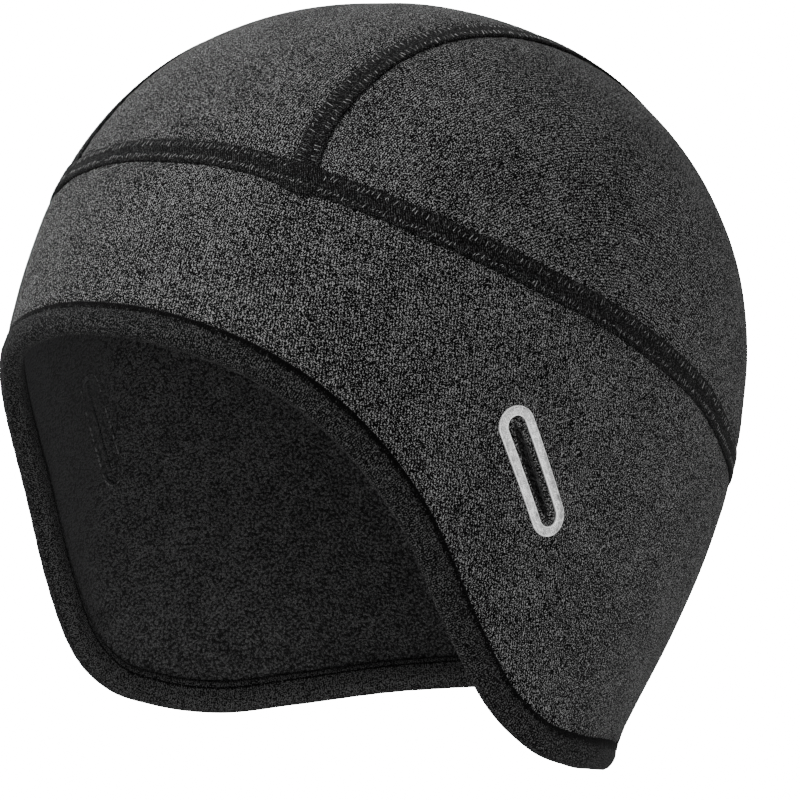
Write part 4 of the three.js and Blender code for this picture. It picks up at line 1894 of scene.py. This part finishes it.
    def cutter(self) -> bpy.types.Object:
        """A slug through shell and lining, in the place of the left slot.

        Returns:
            The slug.
        """
        shorter, narrower = self.cutter_inset
        piece = self.oblong(
            "slot_cutter", self.length - shorter, self.width - narrower, self.cutter_arc)
        bpy.ops.mesh.extrude_region_move(
            TRANSFORM_OT_translate={"value": (0, 0, self.cutter_height)})
        bpy.ops.object.mode_set(mode="OBJECT")
        recalculate(piece)
        points = points_of(piece)
        lay_on(piece, self.on_skin(points[:, 0], points[:, 1], points[:, 2] + self.cutter_foot))
        return piece

    def cut(self, piece: bpy.types.Object) -> None:
        """Opens both slots in a piece of cloth.

        Args:
            piece: the cloth.
        """
        left = self.cutter()
        right = mirror_copy(left, "slot_cutter_right")
        for tool in (left, right):
            cut = piece.modifiers.new("slot", "BOOLEAN")
            cut.operation, cut.solver, cut.object = "DIFFERENCE", "EXACT", tool
        apply_all(piece)
        for tool in (left, right):
            bpy.data.objects.remove(tool)

    def around(self, run: np.ndarray, half: float) -> np.ndarray:
        """Places on an oblong line round the slot.

        Args:
            run: lengths along the line, from the lower end of its back side.
            half: half of the line's width.

        Returns:
            A row of places along the slot and a row of places across it.
        """
        straight = self.length / 2 - self.width / 2
        half_turn = 2 * straight + math.pi * half
        run = np.mod(run, 2 * half_turn)
        far = run >= half_turn
        run = run - half_turn * far
        turn = np.maximum(run - 2 * straight, 0) / half
        along = straight - np.minimum(run, 2 * straight) - half * np.sin(turn)
        return np.stack([along, half * np.cos(turn)]) * np.where(far, -1, 1)

    def inside_stitches(self) -> bpy.types.Object:
        """Stitches that hold the left loop, where they come out on the lining.

        Returns:
            The stitches.
        """
        half = (self.width + self.band) / 2
        total = 4 * (self.length / 2 - self.width / 2) + 2 * math.pi * half
        count = round(total / self.stitch_pitch)
        outward = np.full(count, -SKIN.wall - 0.12)
        starts, ends = (
            self.on_skin(*self.around(np.arange(count) * self.stitch_pitch + shift, half), outward)
            for shift in (0.0, self.stitch_length))
        up = -SKIN.normal(np.full(count, self.bearing), np.full(count, self.drop))
        return self.tapes.sew("slot_stitches_left", starts, ends, up, self.stitch_thick)

    def build(self) -> list[bpy.types.Object]:
        """Makes and dresses the loops, turned edges and stitches of both sides.

        Returns:
            All pieces of both slots.
        """
        f = self.finishes
        loop = dress(self.loop(), f.film, Slot.FILM, "slot_loop_left")
        rows = dress(self.inside_stitches(), f.dark_thread, Slot.TAPE)
        return [
            loop, rows, *(dress(self.lip(side), f.heather, Slot.HEATHER) for side in Side),
            dress(mirror_copy(loop, "slot_loop_film_right"), f.film, Slot.FILM, "slot_loop_right"),
            dress(mirror_copy(rows, "slot_stitches_right"), f.dark_thread, Slot.TAPE),
            dress(self.fold(), f.fleece, Slot.FLEECE),
        ]


# ---------------------------------------------------------------- lining and binding


@dataclass
class Lining:
    """The fleece inside the whole cap."""

    finishes: Finishes
    outside: float = 1.5
    cloth: float = 1.4
    flat: tuple[float, float] = (0.600, 0.200)
    area: float = 0.0812
    columns: int = 300
    crown_rows: int = 46
    side_rows: int = 39
    low_rises: tuple[float, ...] = (9.0, 7.3, 5.5, 3.6, 1.9)
    reach: float = 84.0

    def build(self) -> bpy.types.Object:
        """Makes and dresses the lining.

        Returns:
            The lining.
        """
        bearing = SKIN.even_bearings(SKIN.edge_drop, self.columns) + math.pi
        ring = SKIN.ring_drop(bearing)
        crown = [(bearing, ring * t * t) for t in np.linspace(0.02, 1, self.crown_rows)]
        top = (bearing, ring + 1.8)
        low = [SKIN.beside_line(SKIN.edge_drop, bearing, rise) for rise in self.low_rises]
        shares = np.linspace(0, 1, self.side_rows + 1)[:-1]
        places = as_grid(crown + between(top, low[0], shares) + low)
        points = SKIN.point(*places)
        slack = LINES.slack(points[..., ::-1]) * 0.8
        gap, _ = near_line(points, LINES.edge())
        slack = slack - 0.25 * np.exp(-(((gap - 8.2) / 1.2) ** 2))
        outside = SKIN.layer(*places, np.full_like(places[0], -self.outside))
        inside = SKIN.layer(*places, -self.outside - self.cloth + np.minimum(slack, 0.4))
        across = (places[0] - math.pi) * self.reach
        flat = np.stack([across, -lengths_across(points)], -1) * MM
        piece = cloth_wall("fleece_cloth", outside, inside, flat, 2 * math.pi * self.reach * MM)
        self.close_top(piece)
        return dress(piece, self.finishes.fleece, Slot.FLEECE, "fleece_lining")

    def close_top(self, piece: bpy.types.Object) -> None:
        """Closes the small hole at the top of both faces.

        Args:
            piece: the lining.
        """
        take_up(piece)
        select_where(piece, lambda p: math.hypot(p.x, p.y) < 0.0034 and p.z > -0.01)
        bpy.ops.mesh.select_mode(type="FACE")
        bpy.ops.mesh.delete(type="FACE")
        bpy.ops.mesh.select_mode(type="EDGE")
        bpy.ops.mesh.select_all(action="DESELECT")
        bpy.ops.mesh.select_non_manifold(extend=False)
        bpy.ops.mesh.edge_face_add()
        recalculate(piece)


@dataclass
class Binding:
    """The rib knit folded over the lower edge, with its blind stitches inside."""

    finishes: Finishes
    tapes: SeamTapes
    step: float = 1.5
    flat: tuple[float, float] = (0.640, 0.018)
    thick: float = 0.9
    stitch_pitch: float = 1.3
    stitch_half: float = 0.38
    stitch_thick: float = 0.17
    outline: tuple[tuple[float, float], ...] = (
        (6.35, -0.85), (6.3, -0.2), (6.1, 0.16), (5.8, 0.24), (5.5, 0.05), (5.25, -0.3), (5.0, 0.0),
        (4.6, 0.42), (3.9, 0.6), (3.0, 0.64), (2.0, 0.48),
        (1.0, 0.08), (0.35, -0.55), (0.0, -1.45), (0.35, -2.4), (1.0, -3.1), (2.0, -3.55),
        (3.6, -3.72), (5.2, -3.68), (6.4, -3.50), (6.85, -3.15))

    def build(self) -> list[bpy.types.Object]:
        """Makes and dresses the binding and its stitches.

        Returns:
            The binding and the stitches.
        """
        path = edge_path()
        along = np.arange(0, path.length() - self.step * 0.5, self.step)
        outer = np.array(self.outline)
        run = np.gradient(outer, axis=0)
        run /= np.linalg.norm(run, axis=1, keepdims=True)
        inner = outer + np.stack([-run[:, 1], run[:, 0]], 1) * self.thick * -1
        section = np.concatenate([outer, inner[::-1]])
        puff = 0.05 * np.sin(2 * math.pi * along / 6.1 + 2 * np.sin(along / 19.0))
        rise = np.repeat(section[None, :, 0], len(along), 0)
        outward = section[None, :, 1] + puff[:, None] * (section[None, :, 1] > -0.5)
        width = np.concatenate([arc_lengths(outer), arc_lengths(outer)[::-1]])
        binding = path.sweep("edge_binding_knit", along, rise, outward, width)
        dress(binding, self.finishes.binding, Slot.BINDING, "edge_binding")
        return [binding, dress(self.blind_stitches(path), self.finishes.dark_thread, Slot.TAPE)]

    def blind_stitches(self, path: Path) -> bpy.types.Object:
        """Small stitches along the binding's inner border.

        Args:
            path: the lower edge.

        Returns:
            The stitches.
        """
        chance = np.random.default_rng(11)
        count = round(path.length() / self.stitch_pitch)
        along = (np.arange(count) + 0.5) * path.length() / count + chance.normal(0, 0.08, count)
        ends = []
        for way, rise, outward in ((-1, 5.5, -3.72), (1, 6.2, -3.66)):
            places = path.beside(along + way * self.stitch_half, np.full(count, rise))
            ends.append(SKIN.layer(*places, np.full(count, outward)))
        up = -SKIN.normal(*places)
        return self.tapes.sew("binding_stitches", *ends, up, self.stitch_thick)


# ---------------------------------------------------------------- studio


def toward(azimuth: float, height: float) -> tuple[float, float, float]:
    """The direction out from the cap at two angles in radians."""
    level = math.cos(height)
    return math.sin(azimuth) * level, -math.cos(azimuth) * level, math.sin(height)


@dataclass(frozen=True)
class Softbox:
    """A square soft light that faces the cap.

    Args:
        name: the light's name.
        azimuth: degrees round the cap from its front.
        height: degrees above the cap's level.
        distance: metres from the cap.
        size: the light's side in metres.
        power: in watts.
    """

    name: str
    azimuth: float
    height: float
    distance: float
    size: float
    power: float

    def hang(self, target: Vector) -> None:
        """Adds the light to the scene.

        Args:
            target: the middle of the cap.
        """
        data = bpy.data.lights.new(self.name, "AREA")
        data.energy, data.size = self.power, self.size
        light = bpy.data.objects.new(self.name, data)
        bpy.context.scene.collection.objects.link(light)
        way = Vector(toward(math.radians(self.azimuth), math.radians(self.height)))
        light.location = target + way * self.distance
        light.rotation_mode = "QUATERNION"
        light.rotation_quaternion = way.to_track_quat("Z", "Y")


@dataclass
class Studio:
    """Floor, light and camera."""

    azimuth: float = math.radians(45.848)
    elevation: float = math.radians(-0.469)
    roll: float = math.radians(-5.111)
    distance: float = 1.401
    target: tuple[float, float, float] = (0.0, 0.0, -0.0916)
    lens: float = 250.95
    frame_right: float = 0.00794
    frame_down: float = 0.00539
    sensor: float = 36.0
    floor: float = -0.32
    floor_radius: float = 5.0
    rim_steps: tuple[tuple[float, float], ...] = (
        (0.25, 1.1), (0.6, 1.07), (1.2, 1.05), (3.0, 1.03))
    daylight: float = 0.7
    softboxes: tuple[Softbox, ...] = (
        Softbox("key_softbox", -32, 34, 1.5, 1.1, 30),
        Softbox("front_softbox", 48, -20, 1.6, 1.0, 8),
        Softbox("side_softbox", 114, -4, 1.8, 0.5, 4),
        Softbox("rim_softbox", -120, 35, 1.6, 0.9, 9))

    def axes(self) -> tuple[np.ndarray, np.ndarray, np.ndarray]:
        """The camera's directions: right, up and back.

        Returns:
            The three unit directions.
        """
        a, r = self.azimuth, self.roll
        back = np.array(toward(a, self.elevation))
        right = np.array([math.cos(a), math.sin(a), 0.0])
        up = np.cross(back, right)
        turned = right * math.cos(r) - up * math.sin(r)
        return turned, right * math.sin(r) + up * math.cos(r), back

    def camera(self) -> None:
        """Sets the camera at the photograph's angle."""
        right, up, back = self.axes()
        target = np.array(self.target)
        eye = target + back * self.distance
        aim = target + right * self.frame_right - up * self.frame_down
        look = (eye - aim) / np.linalg.norm(eye - aim)
        right = np.cross(up, look)
        right /= np.linalg.norm(right)
        up = np.cross(look, right)
        data = bpy.data.cameras.new("camera")
        data.lens, data.sensor_width = self.lens, self.sensor
        data.clip_start, data.clip_end = 0.05, 60.0
        camera = bpy.data.objects.new("camera", data)
        bpy.context.scene.collection.objects.link(camera)
        pose = np.eye(4)
        pose[:3, 0], pose[:3, 1], pose[:3, 2], pose[:3, 3] = right, up, look, eye
        camera.matrix_world = Matrix(pose.tolist())
        bpy.context.scene.camera = camera

    def bowl(self) -> None:
        """A round floor whose rim rises all round into a backdrop without a line."""
        nothing_selected()
        bpy.ops.mesh.primitive_circle_add(
            vertices=96, radius=self.floor_radius, fill_type="NGON", location=(0, 0, self.floor))
        piece = bpy.context.object
        piece.name = "studio_floor"
        bpy.ops.object.mode_set(mode="EDIT")
        bpy.ops.mesh.select_all(action="SELECT")
        bpy.ops.mesh.inset(thickness=1.2)
        bpy.ops.object.mode_set(mode="OBJECT")
        centre = Vector((0, 0, self.floor))
        select_where(piece, lambda p: p.length > self.floor_radius - 0.1)
        bpy.ops.mesh.select_mode(type="EDGE")
        for lift, grow in self.rim_steps:
            bpy.ops.mesh.extrude_edges_move(TRANSFORM_OT_translate={"value": (0, 0, lift)})
            bpy.ops.transform.resize(value=(grow, grow, 1), center_override=centre)
        bpy.ops.object.mode_set(mode="OBJECT")
        bpy.ops.object.transform_apply(location=True, rotation=False, scale=False)
        bend = piece.modifiers.new("soft_bend", "SUBSURF")
        bend.levels = bend.render_levels = 2
        apply_all(piece)
        bpy.ops.object.shade_smooth()
        piece.data.materials.append(Plaster().material())
        piece.visible_shadow = piece.visible_diffuse = False
        piece.visible_glossy = piece.visible_transmission = False

    def sky(self) -> None:
        """Even pale light from all sides."""
        world = bpy.data.worlds.new("studio_light")
        bpy.context.scene.world = world
        world.use_nodes = True
        shade = world.node_tree.nodes["Background"]
        shade.inputs[0].default_value = (1, 1, 1, 1)
        shade.inputs[1].default_value = self.daylight

    def build(self) -> None:
        """Sets up the whole studio."""
        self.camera()
        self.bowl()
        self.sky()
        for softbox in self.softboxes:
            softbox.hang(Vector(self.target))


def main() -> None:
    """Builds the cap and its scene in order."""
    logging.basicConfig(level=logging.INFO, format="%(name)s: %(message)s")
    finishes = Finishes()
    tapes = SeamTapes(finishes)
    slots = TempleSlot(finishes, tapes)
    shell = Shell()
    centre = dress(shell.crown_centre(), finishes.heather, Slot.HEATHER, "crown_centre")
    for side in Side:
        node = f"crown_side_{side.label}"
        panel = dress(shell.crown_side(side), finishes.heather, Slot.HEATHER, node)
        seam = tapes.over_crown(side)
    band_piece = shell.side_band()
    slots.cut(band_piece)
    band = dress(band_piece, finishes.heather, Slot.HEATHER, "side_band")
    lining = Lining(finishes).build()
    slots.cut(lining)
    binding, blind = Binding(finishes, tapes).build()
    trims = slots.build()
    tapes.round_crown() + trims
    Studio().build()


if __name__ == "__main__":
    main()
